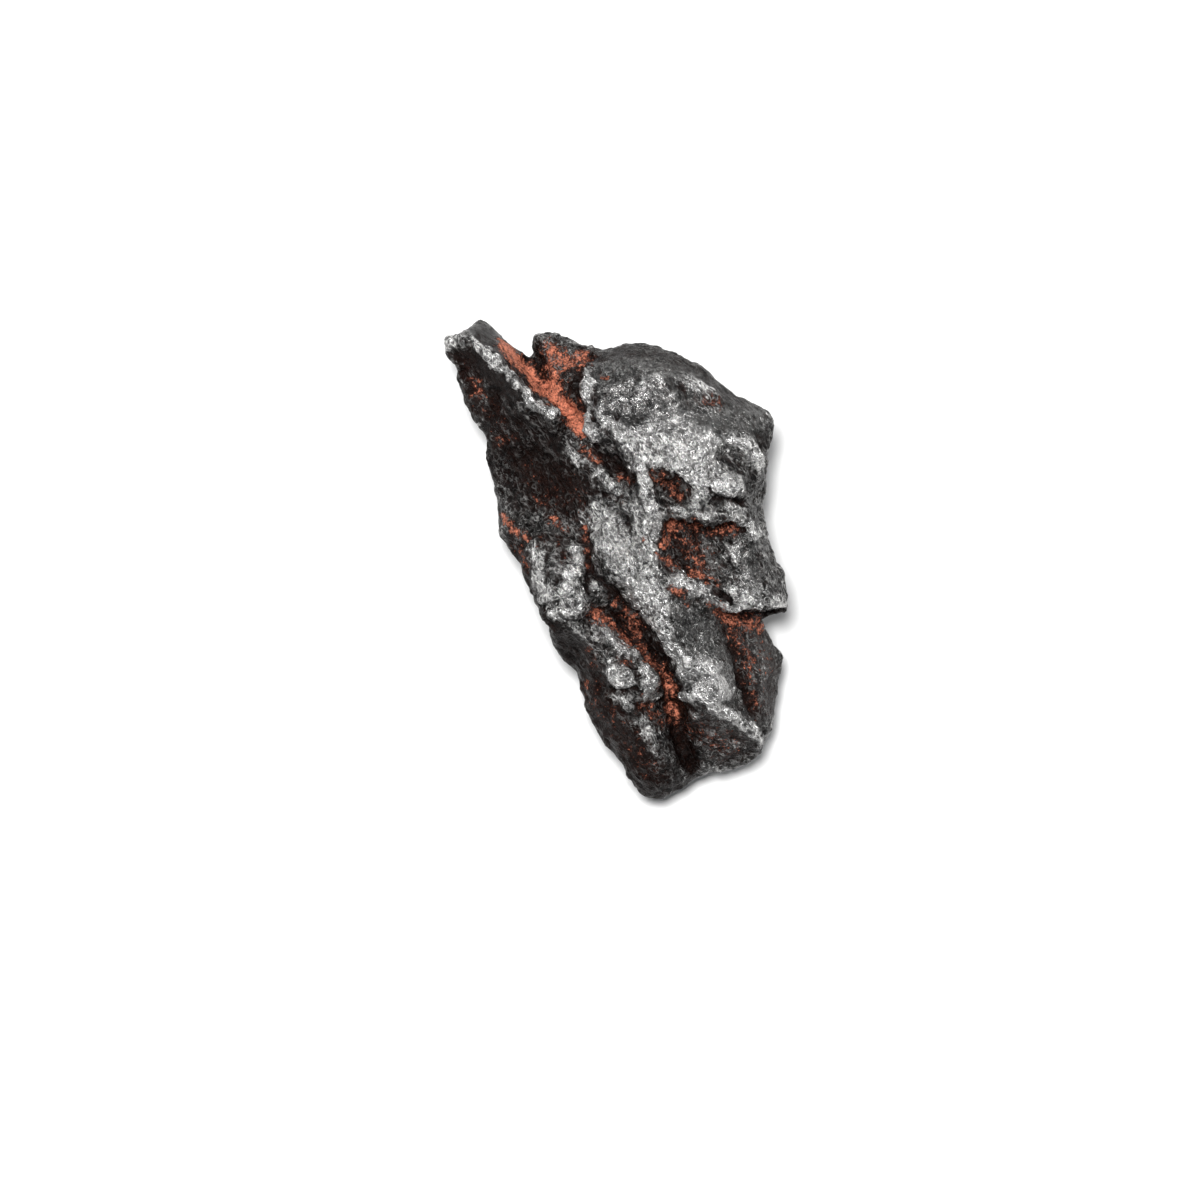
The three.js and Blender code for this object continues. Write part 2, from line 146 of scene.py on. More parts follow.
def normals_of(surface):
    """The outward direction at each point of a surface."""
    a, b, c = (surface[triangles[:, corner]] for corner in range(3))
    faces = np.cross(b - a, c - a)
    total = np.zeros_like(surface)
    for corner in range(3):
        np.add.at(total, triangles[:, corner], faces)
    return total / np.maximum(np.linalg.norm(total, axis=1), NO_LENGTH)[:, None]


# %% [markdown]
# ## Rounding the facets
# Weather has rounded the real metal everywhere. Pulling each point towards its neighbours rounds the
# facets but shrinks the lump, so every pull is followed by a push that is a little stronger, which brings
# the size back. The spot that the lump rests on stays flat.

# %% Round the facets
REST_HEIGHT = 0.02
ROUNDS = 5
PULL = 0.55
PUSH = -0.57

resting = points[:, 2] < REST_HEIGHT
for amount in (PULL, PUSH) * ROUNDS:
    points += amount * (spread(points) - points)
points[resting, 2] = 0
print("points on the rest spot:", int(resting.sum()))

# %% [markdown]
# ## Tools for carving
# The small forms of the lump are carved by strokes. Sculpt brushes would do it too, but their strokes
# can't be read in a script. So a stroke here is a line or a spot seen from above, in millimetres from the
# middle of the photographed outline, with its width. Noise makes the strokes look natural: it bends them
# a little, so that none runs straight, and lets them bite unevenly.


# %% Soft steps
def soft(share):
    """The same share with a soft shoulder and a soft foot."""
    return share * share * (3 - 2 * share)


def smooth_step(values, low, high):
    """0 up to low, 1 from high, and a soft slope between."""
    return soft(np.clip((values - low) / (high - low), 0, 1))


# %% Noise on the surface
FLOW = np.array((0.6, -0.8, 0.0))
SEED_STEP = (17.3, 5.9, 11.1)
FADE_PER_LAYER = 0.8
FINER_PER_LAYER = 2.1


def rough_noise(size, seed, depth=3, stretch=1.0):
    """Fractal noise over the surface, about -1 to 1, with bumps about this size in millimetres, drawn out
    along the flow of the metal by the stretch."""
    at = Vector([seed * step for step in SEED_STEP])
    drawn_out = points - (1 - 1 / stretch) * (points @ FLOW)[:, None] * FLOW
    return np.array([noise.fractal(Vector(p / size) + at, FADE_PER_LAYER, FINER_PER_LAYER, depth)
                     for p in drawn_out])


# %% The lump seen from above
SHIFT = np.array((0.073, 0.099))
UPRIGHT, LEANING = -0.05, 0.3
BITE_SIZE = 1.1
BENDS = ((1.5, 0.3, 22), (0.5, 0.14, 24))

outwards = normals_of(points)
upper = smooth_step(outwards[:, 2], UPRIGHT, LEANING)
bite = 1 + 0.5 * rough_noise(BITE_SIZE, 21)
plan = points[:, :2].copy()
for size, sway, seed in BENDS:
    plan += sway * np.stack((rough_noise(size, seed, 2), rough_noise(size, seed + 1, 2)), axis=1)
print("points on the upper face:", int((upper > 0.5).sum()))

# %% How near a stroke is
NO_AREA = 1e-9


def nearness(line, width):
    """How strongly each point feels a stroke: 1 on it, 0 from its width outwards. Only the upper face
    feels it."""
    line = np.array(line, dtype=float) - SHIFT
    nearest = np.full(len(points), np.inf)
    for start, end in zip(line, line[1:] if len(line) > 1 else line):
        along = end - start
        share = ((plan - start) @ along) / max(along @ along, NO_AREA)
        foot = start + np.clip(share, 0, 1)[:, None] * along
        nearest = np.minimum(nearest, np.linalg.norm(plan - foot, axis=1))
    return np.clip(1 - nearest / width, 0, 1) * upper


# %% [markdown]
# ## Crests
# Narrow ridges of metal: the knife edge of the long horn, the lips of the pits and ledges, the crest down
# the middle and the ridge across the end of the column. They could be creased edges of the net, but the
# net's own edges run elsewhere, so points near a line are lifted instead. Each crest is a line, its
# width, its height and how bright it is painted, partly as worn metal and partly as a painted highlight.

# %% Raise the crests
CRESTS = {
    "horn knife edge": ([(-13.8, 18.4), (-12.6, 18.4), (-11.7, 18.1), (-10.6, 17.2), (-9.4, 16.0),
                         (-8.4, 15.0), (-7.5, 13.8), (-6.9, 13.2), (-5.8, 12.6),
                         (-5.0, 12.0)], 0.6, 0.3, 0.0),
    "horn side": ([(-10.7, 16.5), (-10.1, 15.0), (-9.8, 13.6), (-10.2, 12.1),
                   (-10.8, 11.3)], 1.0, 0.2, 0.1),
    "small rib": ([(-10.3, 9.5), (-8.8, 9.7), (-7.8, 10.2)], 0.7, 0.2, 0.1),
    "shoulder edge": ([(-2.6, 16.4), (-2.3, 15.4), (-2.2, 13.6), (-2.4, 12.2),
                       (-1.7, 10.6)], 0.7, 0.4, 0.9),
    "shoulder streak": ([(-1.4, 13.0), (-1.1, 11.6), (-0.3, 11.3), (0.6, 10.0)], 0.6, 0.35, 1.0),
    "shoulder, inner": ([(0.6, 12.4), (0.9, 11.0), (1.8, 9.9)], 0.5, 0.25, 0.6),
    "dimple lip": ([(0.2, 10.7), (0.8, 9.6), (1.6, 9.3)], 0.7, 0.3, 0.8),
    "middle, upper": ([(1.7, 9.4), (2.3, 7.4), (2.6, 6.2), (2.8, 4.6), (3.4, 3.2),
                       (3.2, 0.8)], 0.7, 0.5, 0.9),
    "middle, lower": ([(3.0, 0.8), (3.6, -1.0), (4.2, -2.8), (4.0, -5.0), (4.4, -6.6), (5.0, -7.7),
                       (5.9, -8.4)], 0.9, 0.2, 0.4),
    "upper ledge": ([(4.4, 3.4), (5.4, 3.6), (6.1, 3.15), (7.5, 3.3), (9.0, 3.35),
                     (10.2, 3.3)], 0.5, 0.3, 0.2),
    "lower ridge": ([(5.0, -1.2), (6.3, -1.75), (7.4, -2.5), (8.4, -3.4), (9.3, -3.9)], 0.7, 0.4, 1.0),
    "spur edge": ([(9.7, -3.8), (11.0, -3.7), (12.4, -3.7), (13.6, -3.6)], 0.7, 0.2, 0.6),
    "spur shoulder": ([(9.2, 1.4), (10.4, -0.4), (11.8, -2.4)], 0.8, 0.15, 0.2),
    "end of column": ([(5.9, -11.0), (7.2, -11.7), (8.6, -12.4), (10.1, -13.05),
                       (11.4, -14.2)], 0.6, 0.4, 1.0),
    "side of column": ([(6.05, -8.3), (5.7, -9.3), (6.05, -10.4), (5.5, -11.4)], 0.6, 0.25, 0.3),
    "left lump, outer": ([(-7.4, 2.4), (-6.7, 1.0), (-6.2, -0.6), (-6.3, -2.4),
                          (-6.1, -3.8)], 0.8, 0.2, 0.3),
    "left lump, middle": ([(-5.9, 2.8), (-5.6, 0.8), (-5.2, -1.4), (-5.4, -3.6)], 0.8, 0.18, 0.4),
    "left lump, inner": ([(-4.6, 1.4), (-4.4, -0.6), (-4.0, -2.4), (-3.8, -4.2)], 0.8, 0.2, 0.4),
    "chin": ([(-4.8, -5.8), (-3.8, -5.8), (-2.8, -5.8), (-2.2, -6.8)], 0.7, 0.2, 0.2),
    "small ledge": ([(-0.8, -3.4), (0.3, -4.1)], 0.6, 0.25, 0.3),
    "bulge": ([(-0.9, 2.2), (0.2, 0.2), (1.0, -1.2), (2.2, -3.0), (3.0, -4.8)], 1.0, 0.15, 0.3),
    "bulge, left": ([(-1.5, 1.6), (-1.3, -0.2), (-0.4, -1.8)], 0.7, 0.15, 0.4),
    "crust strip": ([(-0.9, -5.6), (0.2, -7.0), (1.6, -7.8)], 0.8, 0.25, 0.5),
    "dome swirl": ([(2.2, 14.0), (2.6, 14.8), (3.4, 15.1), (4.2, 14.6)], 0.5, 0.15, 0.2),
    "dome arc": ([(-0.6, 12.8), (0.6, 13.4), (2.4, 13.2), (4.2, 12.4)], 0.5, 0.15, 0.2),
    "dome tuft": ([(5.9, 14.8), (6.8, 14.6), (7.8, 14.0), (8.4, 13.0)], 0.7, 0.25, 0.4),
    "dome ripple": ([(3.6, 15.2), (4.8, 14.2), (5.2, 12.8), (4.6, 11.6)], 0.5, 0.2, 0.2),
    "plateau ripple": ([(3.4, 10.6), (5.2, 10.4), (6.6, 9.4), (8.0, 8.9)], 0.5, 0.22, 0.9),
    "right rim": ([(9.6, 10.1), (10.8, 9.6), (11.9, 8.3), (12.0, 6.8)], 0.6, 0.3, 0.8),
}
RIDGE_FOOT, RIDGE_TOP = 0.4, 0.9

relief = np.zeros(len(points))
# bright paints crests and knobs lighter: partly worn metal, partly a painted highlight.
bright = np.zeros(len(points))
for line, width, height, shine in CRESTS.values():
    felt = nearness(line, width)
    relief += height * bite * felt
    bright = np.maximum(bright, shine * smooth_step(felt, RIDGE_FOOT, RIDGE_TOP))
print("crests:", len(CRESTS))

# %% [markdown]
# ## Cracks and grooves
# Sharp lines where the metal has split along its grain. A Boolean cut would leave clean walls, which look
# sawn, so the points are sunk along a line instead, deeper in some places than in others. What lies in a
# crack is remembered as dark, and painted dark: partly oxide, partly painted shade. Each crack is a line,
# its width and its depth.

# %% Sink the cracks
CRACKS = {
    "rusty cleft": ([(-7.5, 17.0), (-7.0, 16.2), (-6.2, 15.1), (-5.3, 14.0), (-4.4, 12.9), (-3.5, 11.9),
                     (-2.9, 11.2)], 0.6, 0.5),
    "back horn": ([(-6.5, 17.0), (-6.25, 16.0), (-6.05, 15.0)], 0.4, 0.5),
    "lump's first groove": ([(-5.9, 2.4), (-5.7, 0.6), (-5.6, -1.8)], 0.5, 0.12),
    "lump's second groove": ([(-4.6, 2.0), (-4.3, 0.2), (-4.6, -2.0)], 0.5, 0.12),
    "middle groove": ([(-2.0, 5.8), (-1.0, 5.5), (-0.1, 5.1)], 0.35, 0.3),
    "lower middle groove": ([(-1.6, 3.3), (-0.5, 3.5)], 0.3, 0.25),
    "shoulder foot": ([(-2.0, 16.9), (-2.9, 15.9), (-3.3, 14.8), (-3.1, 13.4), (-2.6, 12.2)], 0.5, 0.45),
    "dome groove": ([(5.5, 14.4), (5.8, 13.6), (6.2, 13.0), (6.6, 12.2)], 0.25, 0.1),
    "shoulder groove": ([(-1.8, 14.2), (-1.8, 12.8), (-1.6, 11.4), (-0.6, 10.4)], 0.4, 0.3),
    "inner groove": ([(0.1, 12.4), (0.2, 11.2), (1.0, 10.2)], 0.3, 0.15),
    "knob's foot": ([(7.9, 7.0), (7.8, 5.8), (8.6, 4.95), (10.4, 4.75)], 0.45, 0.35),
    "under the knob": ([(8.0, 4.75), (9.2, 4.6), (10.6, 4.75)], 0.35, 0.4),
    "under the ledge": ([(4.8, 2.9), (6.2, 2.6), (7.6, 2.7), (9.1, 2.7), (10.1, 2.6)], 0.45, 0.35),
    "spur valley": ([(5.6, -0.2), (6.7, -1.3), (7.9, -2.2), (9.0, -3.2)], 0.6, 0.25),
    "right of the lump": ([(1.7, -4.5), (2.1, -5.4), (2.8, -6.5), (3.6, -7.5), (4.1, -8.4)], 0.6, 0.45),
    "main crack": ([(-2.1, 2.4), (-2.0, 0.9), (-2.1, -0.7), (-1.2, -1.6), (-0.2, -2.3), (0.6, -3.3),
                    (0.9, -4.2)], 0.35, 0.25),
    "crack's branch": ([(-2.2, 0.0), (-2.25, -1.5), (-2.2, -2.7)], 0.3, 0.35),
    "between crust lumps": ([(0.9, -8.0), (1.6, -8.4), (1.9, -9.2), (1.7, -10.6)], 0.4, 0.4),
    "under a crust lump": ([(-0.2, -10.5), (0.8, -10.9), (1.7, -10.8)], 0.35, 0.35),
    "behind the chin": ([(-1.6, -4.3), (0.2, -4.6), (0.9, -5.6), (1.6, -6.6)], 0.5, 0.35),
    "right lobe": ([(9.6, -7.0), (10.3, -9.2), (10.9, -11.0), (11.8, -12.8), (12.5, -14.6)], 0.4, 0.3),
    "first pit's rim": ([(3.0, 7.2), (3.8, 7.35), (4.6, 7.2), (5.5, 6.4), (6.3, 5.6)], 0.4, 0.4),
    "above the ledge": ([(4.6, 3.3), (5.4, 3.1), (6.2, 2.7), (7.8, 3.0), (9.2, 2.9),
                         (10.4, 2.6)], 0.35, 0.4),
    "facet valley": ([(5.8, -0.75), (7.0, -1.7), (8.1, -2.4), (9.7, -3.5)], 0.35, 0.35),
    "horn side": ([(-9.8, 14.3), (-9.9, 13.4), (-10.3, 12.2), (-11.0, 10.9)], 0.45, 0.35),
    "spur underside": ([(8.7, -4.3), (10.4, -4.6), (12.3, -4.3), (13.8, -4.2)], 0.5, 0.5),
    "lower cleft": ([(4.6, -9.6), (4.9, -11.2), (5.3, -12.8), (5.4, -14.4), (5.8, -15.9),
                     (6.4, -17.2)], 0.7, 0.4),
}
DEEPER = 1.3
DARK_SPREAD = 1.3

# dark marks cracks and pits, which the colour darkens: partly oxide, partly painted shade.
dark = np.zeros(len(points))
for line, width, depth in CRACKS.values():
    relief -= DEEPER * depth * bite * nearness(line, width)
    dark = np.maximum(dark, soft(nearness(line, width * DARK_SPREAD)))
print("cracks:", len(CRACKS))

# %% [markdown]
# ## Pits and knobs
# Small round hollows, and the knobs of crust between them. They are strokes of one point, with a soft
# shoulder. Each is a place, a radius, and how far down or up it goes. A pit is also painted dark, partly as
# oxide and partly as painted shade, and a knob is painted light, partly as worn metal and partly as a
# painted highlight.

# %% Sink the pits and raise the knobs
PITS = {
    "dome": (-1.0, 15.1, 0.5, 0.4),
    "horn side": (-12.8, 15.6, 0.5, 0.3),
    "horn, beside the cleft": (-6.8, 14.3, 0.45, 0.35),
    "column": (7.1, -5.85, 0.4, 0.3),
    "plateau": (6.3, 9.3, 0.4, 0.3),
    "lower cleft": (3.7, -11.8, 0.6, 0.5),
    "small ledge": (0.1, -3.4, 0.5, 0.3),
    "crest, lower": (3.3, 0.4, 0.35, 0.2),
    "crest, upper": (2.3, 1.6, 0.35, 0.2),
    "left lobe, first": (-2.5, -10.3, 0.4, 0.25),
    "left lobe, second": (-1.6, -11.6, 0.4, 0.25),
    "left lobe, third": (-0.1, -12.4, 0.4, 0.3),
    "left lobe, fourth": (2.0, -15.0, 0.4, 0.25),
    "column head, right": (5.7, -3.8, 0.45, 0.2),
    "column head, left": (4.9, -2.9, 0.6, 0.15),
    "left edge, upper": (-7.6, 1.3, 0.6, 0.3),
    "left edge, lower": (-7.5, -0.5, 0.5, 0.25),
}
KNOBS = {
    "plateau knob": (9.2, 6.2, 1.5, 0.4),
    "first crust lump": (0.3, -9.3, 1.3, 0.5),
    "second crust lump": (2.9, -9.9, 1.1, 0.5),
    "third crust lump": (0.9, -11.6, 1.0, 0.35),
    "end facet": (6.7, -12.9, 0.7, 0.25),
    "plateau, left": (4.4, 9.6, 1.0, 0.15),
    "plateau, top": (2.6, 10.6, 0.9, 0.15),
    "plateau, middle": (7.4, 7.4, 1.0, 0.12),
}
KNOB_HIGHLIGHT = 0.6

for x, y, radius, depth in PITS.values():
    felt = soft(nearness([(x, y)], radius))
    relief -= depth * felt
    dark = np.maximum(dark, felt)
# Each knob is also painted lighter: partly worn metal, partly a painted highlight.
for x, y, radius, height in KNOBS.values():
    felt = soft(nearness([(x, y)], radius))
    relief += height * felt
    bright = np.maximum(bright, KNOB_HIGHLIGHT * felt)
print("pits:", len(PITS), "knobs:", len(KNOBS))

# %% [markdown]
# ## Where the metal is smooth
# Broad planes of the real lump are rubbed smooth: the dome, the long horn, the side of the column, the
# edge of the right lobe and the spur. They are laid down as wide strokes and kept as a mask, because both
# the relief and the material need them. One tuft on the dome is rough.

# %% Rub the planes smooth
SMOOTH_BANDS = {
    "dome top": ([(0.0, 16.9), (3.0, 16.8), (6.0, 16.0), (8.6, 14.5), (11.5, 12.3)], 3.0),
    "dome": ([(0.4, 13.4), (3.0, 13.2), (5.8, 12.6), (8.4, 11.4)], 4.4),
    "horn, seen face": ([(-12.2, 17.2), (-10.0, 15.4), (-8.6, 13.8)], 1.2),
    "horn, rear flank": ([(-11.5, 19.3), (-10.0, 18.2), (-8.2, 16.6), (-6.9, 15.2)], 1.5),
    "column": ([(6.3, -5.4), (7.4, -8.0), (8.4, -11.0)], 2.6),
    "right lobe": ([(12.6, -7.0), (13.2, -9.2), (13.0, -12.0)], 1.4),
    "spur": ([(10.6, 0.5), (11.2, -1.8)], 1.6),
}
DOME_TUFT = ([(6.2, 14.6), (7.0, 14.3), (8.2, 13.3)], 1.3)

rubbed = np.zeros(len(points))
for line, width in SMOOTH_BANDS.values():
    rubbed = np.maximum(rubbed, soft(nearness(line, width)))
rubbed *= 1 - soft(nearness(*DOME_TUFT))
print("smooth bands:", len(SMOOTH_BANDS))

# %% [markdown]
# ## Lumps, crumbs and grains
# Between the strokes the metal is uneven everywhere. One noise would give bumps of one size, so three are
# laid over each other, each finer than the last and all drawn out along the flow of the metal. Each is
# its size, its height, its stretch, and the share of it that is rubbed away on the smooth planes.

# %% Roughen the surface
LUMPS = (2.4, 0.2, 1.3, 0.3)
CRUMBS = (1.1, 0.26, 1.8, 0.65)
GRAINS = (0.55, 0.13, 1.6, 0.65)
SHARE_ON_BACK = 0.3

where = SHARE_ON_BACK + (1 - SHARE_ON_BACK) * upper
for seed, (size, height, stretch, rubs_off) in enumerate((LUMPS, CRUMBS, GRAINS), start=1):
    relief += height * (1 - rubs_off * rubbed) * where * rough_noise(size, seed, stretch=stretch)
print("relief, mm:", round(float(relief.min()), 2), "to", round(float(relief.max()), 2))

# %% [markdown]
# ## Hollows on the back and the sides
# A meteorite is dented all over, as if thumbs had pressed it. The back isn't in the photograph, so no
# stroke can be placed there. Noise places the dents instead: where a broad one runs high the
# surface sinks in a shallow bowl, and where a finer one does, in a small pit.

# %% Dent the back
BACK_FACE, SIDE_FACE = -0.2, 0.25
BOWL_SIZE, BOWL_DEPTH = 3.6, 0.35
SMALL_PIT_SIZE, SMALL_PIT_DEPTH = 1.0, 0.25

back = 1 - smooth_step(outwards[:, 2], BACK_FACE, SIDE_FACE)
bowls = smooth_step(rough_noise(BOWL_SIZE, 7, 2), 0.15, 0.75)
small_pits = smooth_step(rough_noise(SMALL_PIT_SIZE, 9, 2), 0.45, 0.8)
relief -= back * (BOWL_DEPTH * bowls + SMALL_PIT_DEPTH * small_pits)

# %% [markdown]
# ## Moving the points
# All the relief is added up first and the points move once, straight out of the surface. A Displace
# modifier could do the same, but the masks below have to know the moved points. No point may leave the
# box of the solid or sink under the table, and the rest spot doesn't move.

# %% Move the points
smooth_points = points.copy()
points += outwards * (relief * ~resting)[:, None]
points[:, 2] = np.maximum(points[:, 2], 0)
points[resting] = smooth_points[resting]
low, high = (np.array(corner) / MM for corner in CAD_BOX)
print("points held back by the box:", int(((points < low) | (points > high)).any(axis=1).sum()))
points = np.clip(points, low, high)
meteorite_mesh.vertices.foreach_set("co", (points * MM).ravel())
meteorite_mesh.update()

# %% [markdown]
# ## How deep and how exposed
# Hollows hold rust and dark oxide, and are also darkened as painted shade; crests are worn bright, and
# are also lightened as a painted highlight. Geometry's Pointiness tells them apart in Cycles, but only at
# one scale, and it gets lost in an export. The gap between the surface and a smoothed copy of it tells them
# apart at any scale, and here it is measured at a fine and at a broad one.


# %% Measure crests and hollows
def standing_out(rounds):
    """How far each point stands out of its smoothed surroundings, in millimetres."""
    smoothed = points.copy()
    for _ in range(rounds):
        smoothed = spread(smoothed)
    return ((points - smoothed) * normals_of(smoothed)).sum(axis=1)


def weighed(rises, steps):
    """The soft steps of several rises, each with its share."""
    return sum(share * smooth_step(rise, start, full) for rise, (start, full, share) in zip(rises, steps))


FINE_ROUNDS, BROAD_ROUNDS = 8, 120
CREST_STEPS = ((0.03, 0.16, 0.7), (0.1, 0.9, 0.5))
HOLLOW_STEPS = ((0.03, 0.18, 0.6), (0.1, 0.8, 0.6))

fine = standing_out(FINE_ROUNDS)
broad = standing_out(BROAD_ROUNDS)
crest = weighed((fine, broad), CREST_STEPS)
hollow = weighed((-fine, -broad), HOLLOW_STEPS)
print("fine, mm:", round(float(fine.min()), 2), round(float(fine.max()), 2))
print("broad, mm:", round(float(broad.min()), 2), round(float(broad.max()), 2))

# %% [markdown]
# ## Where the rust is
# On the front, rust sits where the photograph shows it: in the cleft beside the long horn, in the pits,
# under the spur and along the cracks. A painted image could say so too, but strokes need no unwrapping
# and stay sharp at any size. Each is a line, its width and its strength.

# %% Rust strokes
RUSTY = {
    "rusty cleft": ([(-9.1, 18.2), (-8.1, 16.9), (-6.6, 15.4), (-5.3, 14.2), (-4.0, 12.7),
                     (-2.9, 11.0)], 1.4, 1.6),
    "back horn, face": ([(-5.4, 17.7), (-4.0, 16.7), (-2.8, 17.0)], 1.8, 1.15),
    "back horn, foot": ([(-5.3, 16.5), (-4.8, 15.0)], 1.5, 1.15),
    "horn side, spot": ([(-11.7, 15.0), (-11.1, 14.0)], 1.1, 0.8),
    "small rib": ([(-9.8, 10.0), (-8.6, 10.3)], 0.9, 0.6),
    "dimple, upper": ([(-2.4, 9.3), (-1.4, 8.2)], 1.0, 0.9),
    "dimple, lower": ([(0.4, 7.0), (1.2, 6.4)], 0.9, 0.7),
    "middle groove": ([(0.6, 5.0)], 0.8, 0.6),
    "hollow foot, left": ([(-6.4, 4.9), (-5.2, 4.4)], 1.1, 0.6),
    "hollow foot, middle": ([(-5.2, 3.5), (-4.2, 2.9)], 0.9, 0.9),
    "hollow foot, right": ([(-3.2, 5.6), (-2.4, 4.2)], 0.8, 0.5),
    "main crack, top": ([(-2.6, 2.8), (-2.4, 1.4)], 0.6, 0.8),
    "left edge": ([(-9.6, 3.9), (-8.4, 2.7), (-7.2, 1.9)], 0.7, 1.2),
    "left edge, lower": ([(-8.2, 1.4), (-7.5, -0.4)], 1.0, 0.75),
    "main crack, middle": ([(-2.4, 0.9), (-2.4, -0.5)], 0.6, 0.75),
    "broad hollow, right": ([(-4.6, 7.0), (-2.8, 6.2)], 1.6, 0.35),
    "first pit": ([(3.4, 7.0), (4.4, 6.3), (5.4, 5.3)], 1.4, 0.72),
    "under the ledge": ([(5.4, 2.9), (7.4, 2.7), (9.9, 2.5)], 1.2, 0.75),
    "second pit, left wall": ([(4.9, 3.2), (4.4, 2.4), (3.9, 1.4)], 1.1, 0.95),
    "second pit, foot": ([(4.0, 0.1), (4.8, -0.6)], 0.9, 0.9),
    "second pit, floor": ([(5.8, 1.5), (6.8, 0.4), (7.2, -0.9)], 1.7, 0.8),
    "spur valley": ([(6.7, -0.5), (8.4, -1.9)], 0.6, 0.8),
    "crest pit, lower": ([(3.3, 0.4)], 0.5, 1.0),
    "crest pit, upper": ([(2.3, 1.6)], 0.5, 0.9),
    "below the lower ridge": ([(4.6, -2.4), (5.5, -2.6)], 0.95, 1.15),
    "column head, left": ([(5.8, -3.7)], 0.7, 0.9),
    "column head, right": ([(7.8, -3.6)], 0.7, 0.8),
    "notch under the spur": ([(8.6, -4.3), (10.6, -5.2), (12.2, -5.5)], 1.4, 1.0),
    "right lobe, upper": ([(9.8, -5.8), (10.8, -7.4), (11.4, -8.8)], 1.6, 0.75),
    "right lobe, lower": ([(11.2, -9.0), (11.8, -11.8)], 1.2, 0.65),
    "small ledge": ([(0.1, -3.4)], 0.7, 1.1),
    "behind the chin": ([(-1.9, -4.2), (-0.4, -5.3), (1.0, -6.8)], 1.05, 0.95),
    "right of the lump": ([(0.9, -4.2), (2.0, -6.2)], 0.8, 0.95),
    "crust, upper right": ([(2.0, -7.1), (3.0, -8.2), (4.0, -9.4)], 0.95, 0.9),
    "crust, left": ([(-2.2, -7.4), (-1.6, -8.6)], 1.0, 0.6),
    "between crust lumps": ([(0.4, -8.2), (1.4, -8.4)], 0.7, 0.7),
    "lower cleft": ([(4.3, -9.6), (4.7, -11.8), (4.9, -13.6)], 0.8, 0.9),
    "crust, lower right": ([(2.4, -11.9), (3.7, -13.6)], 1.3, 0.75),
    "left lobe, first pit": ([(-2.5, -10.3)], 0.6, 0.85),
    "left lobe, second pit": ([(-1.6, -11.6)], 0.6, 0.8),
    "left lobe, third pit": ([(-0.1, -12.4)], 0.7, 0.8),
    "left lobe, fourth pit": ([(2.0, -15.0)], 0.8, 0.7),
    "dome tuft": ([(7.4, 13.5), (8.4, 12.9)], 1.0, 0.65),
    "dome pit": ([(-1.0, 15.1)], 0.6, 1.0),
    "end facet": ([(6.6, -14.0), (9.6, -15.6)], 2.6, 0.6),
    "left lobe": ([(-2.0, -11.0), (0.4, -14.6), (3.0, -17.5)], 2.8, 0.45),
    "right lobe, edge": ([(12.0, -6.4), (12.8, -9.2), (12.4, -12.4)], 1.8, 0.45),
    "horn side": ([(-12.6, 16.4), (-11.4, 13.4), (-9.8, 11.4)], 1.8, 0.4),
    "broad hollow": ([(-7.0, 7.6), (-4.0, 5.4), (-3.0, 3.2)], 2.4, 0.35),
    "left lump, top": ([(-6.0, 1.6), (-4.6, 1.4), (-4.2, 0.2)], 1.2, 0.45),
    "second pit, all over": ([(4.4, 2.6), (6.4, 1.2), (7.4, -0.6)], 2.4, 0.45),
}
print("rust strokes:", len(RUSTY))
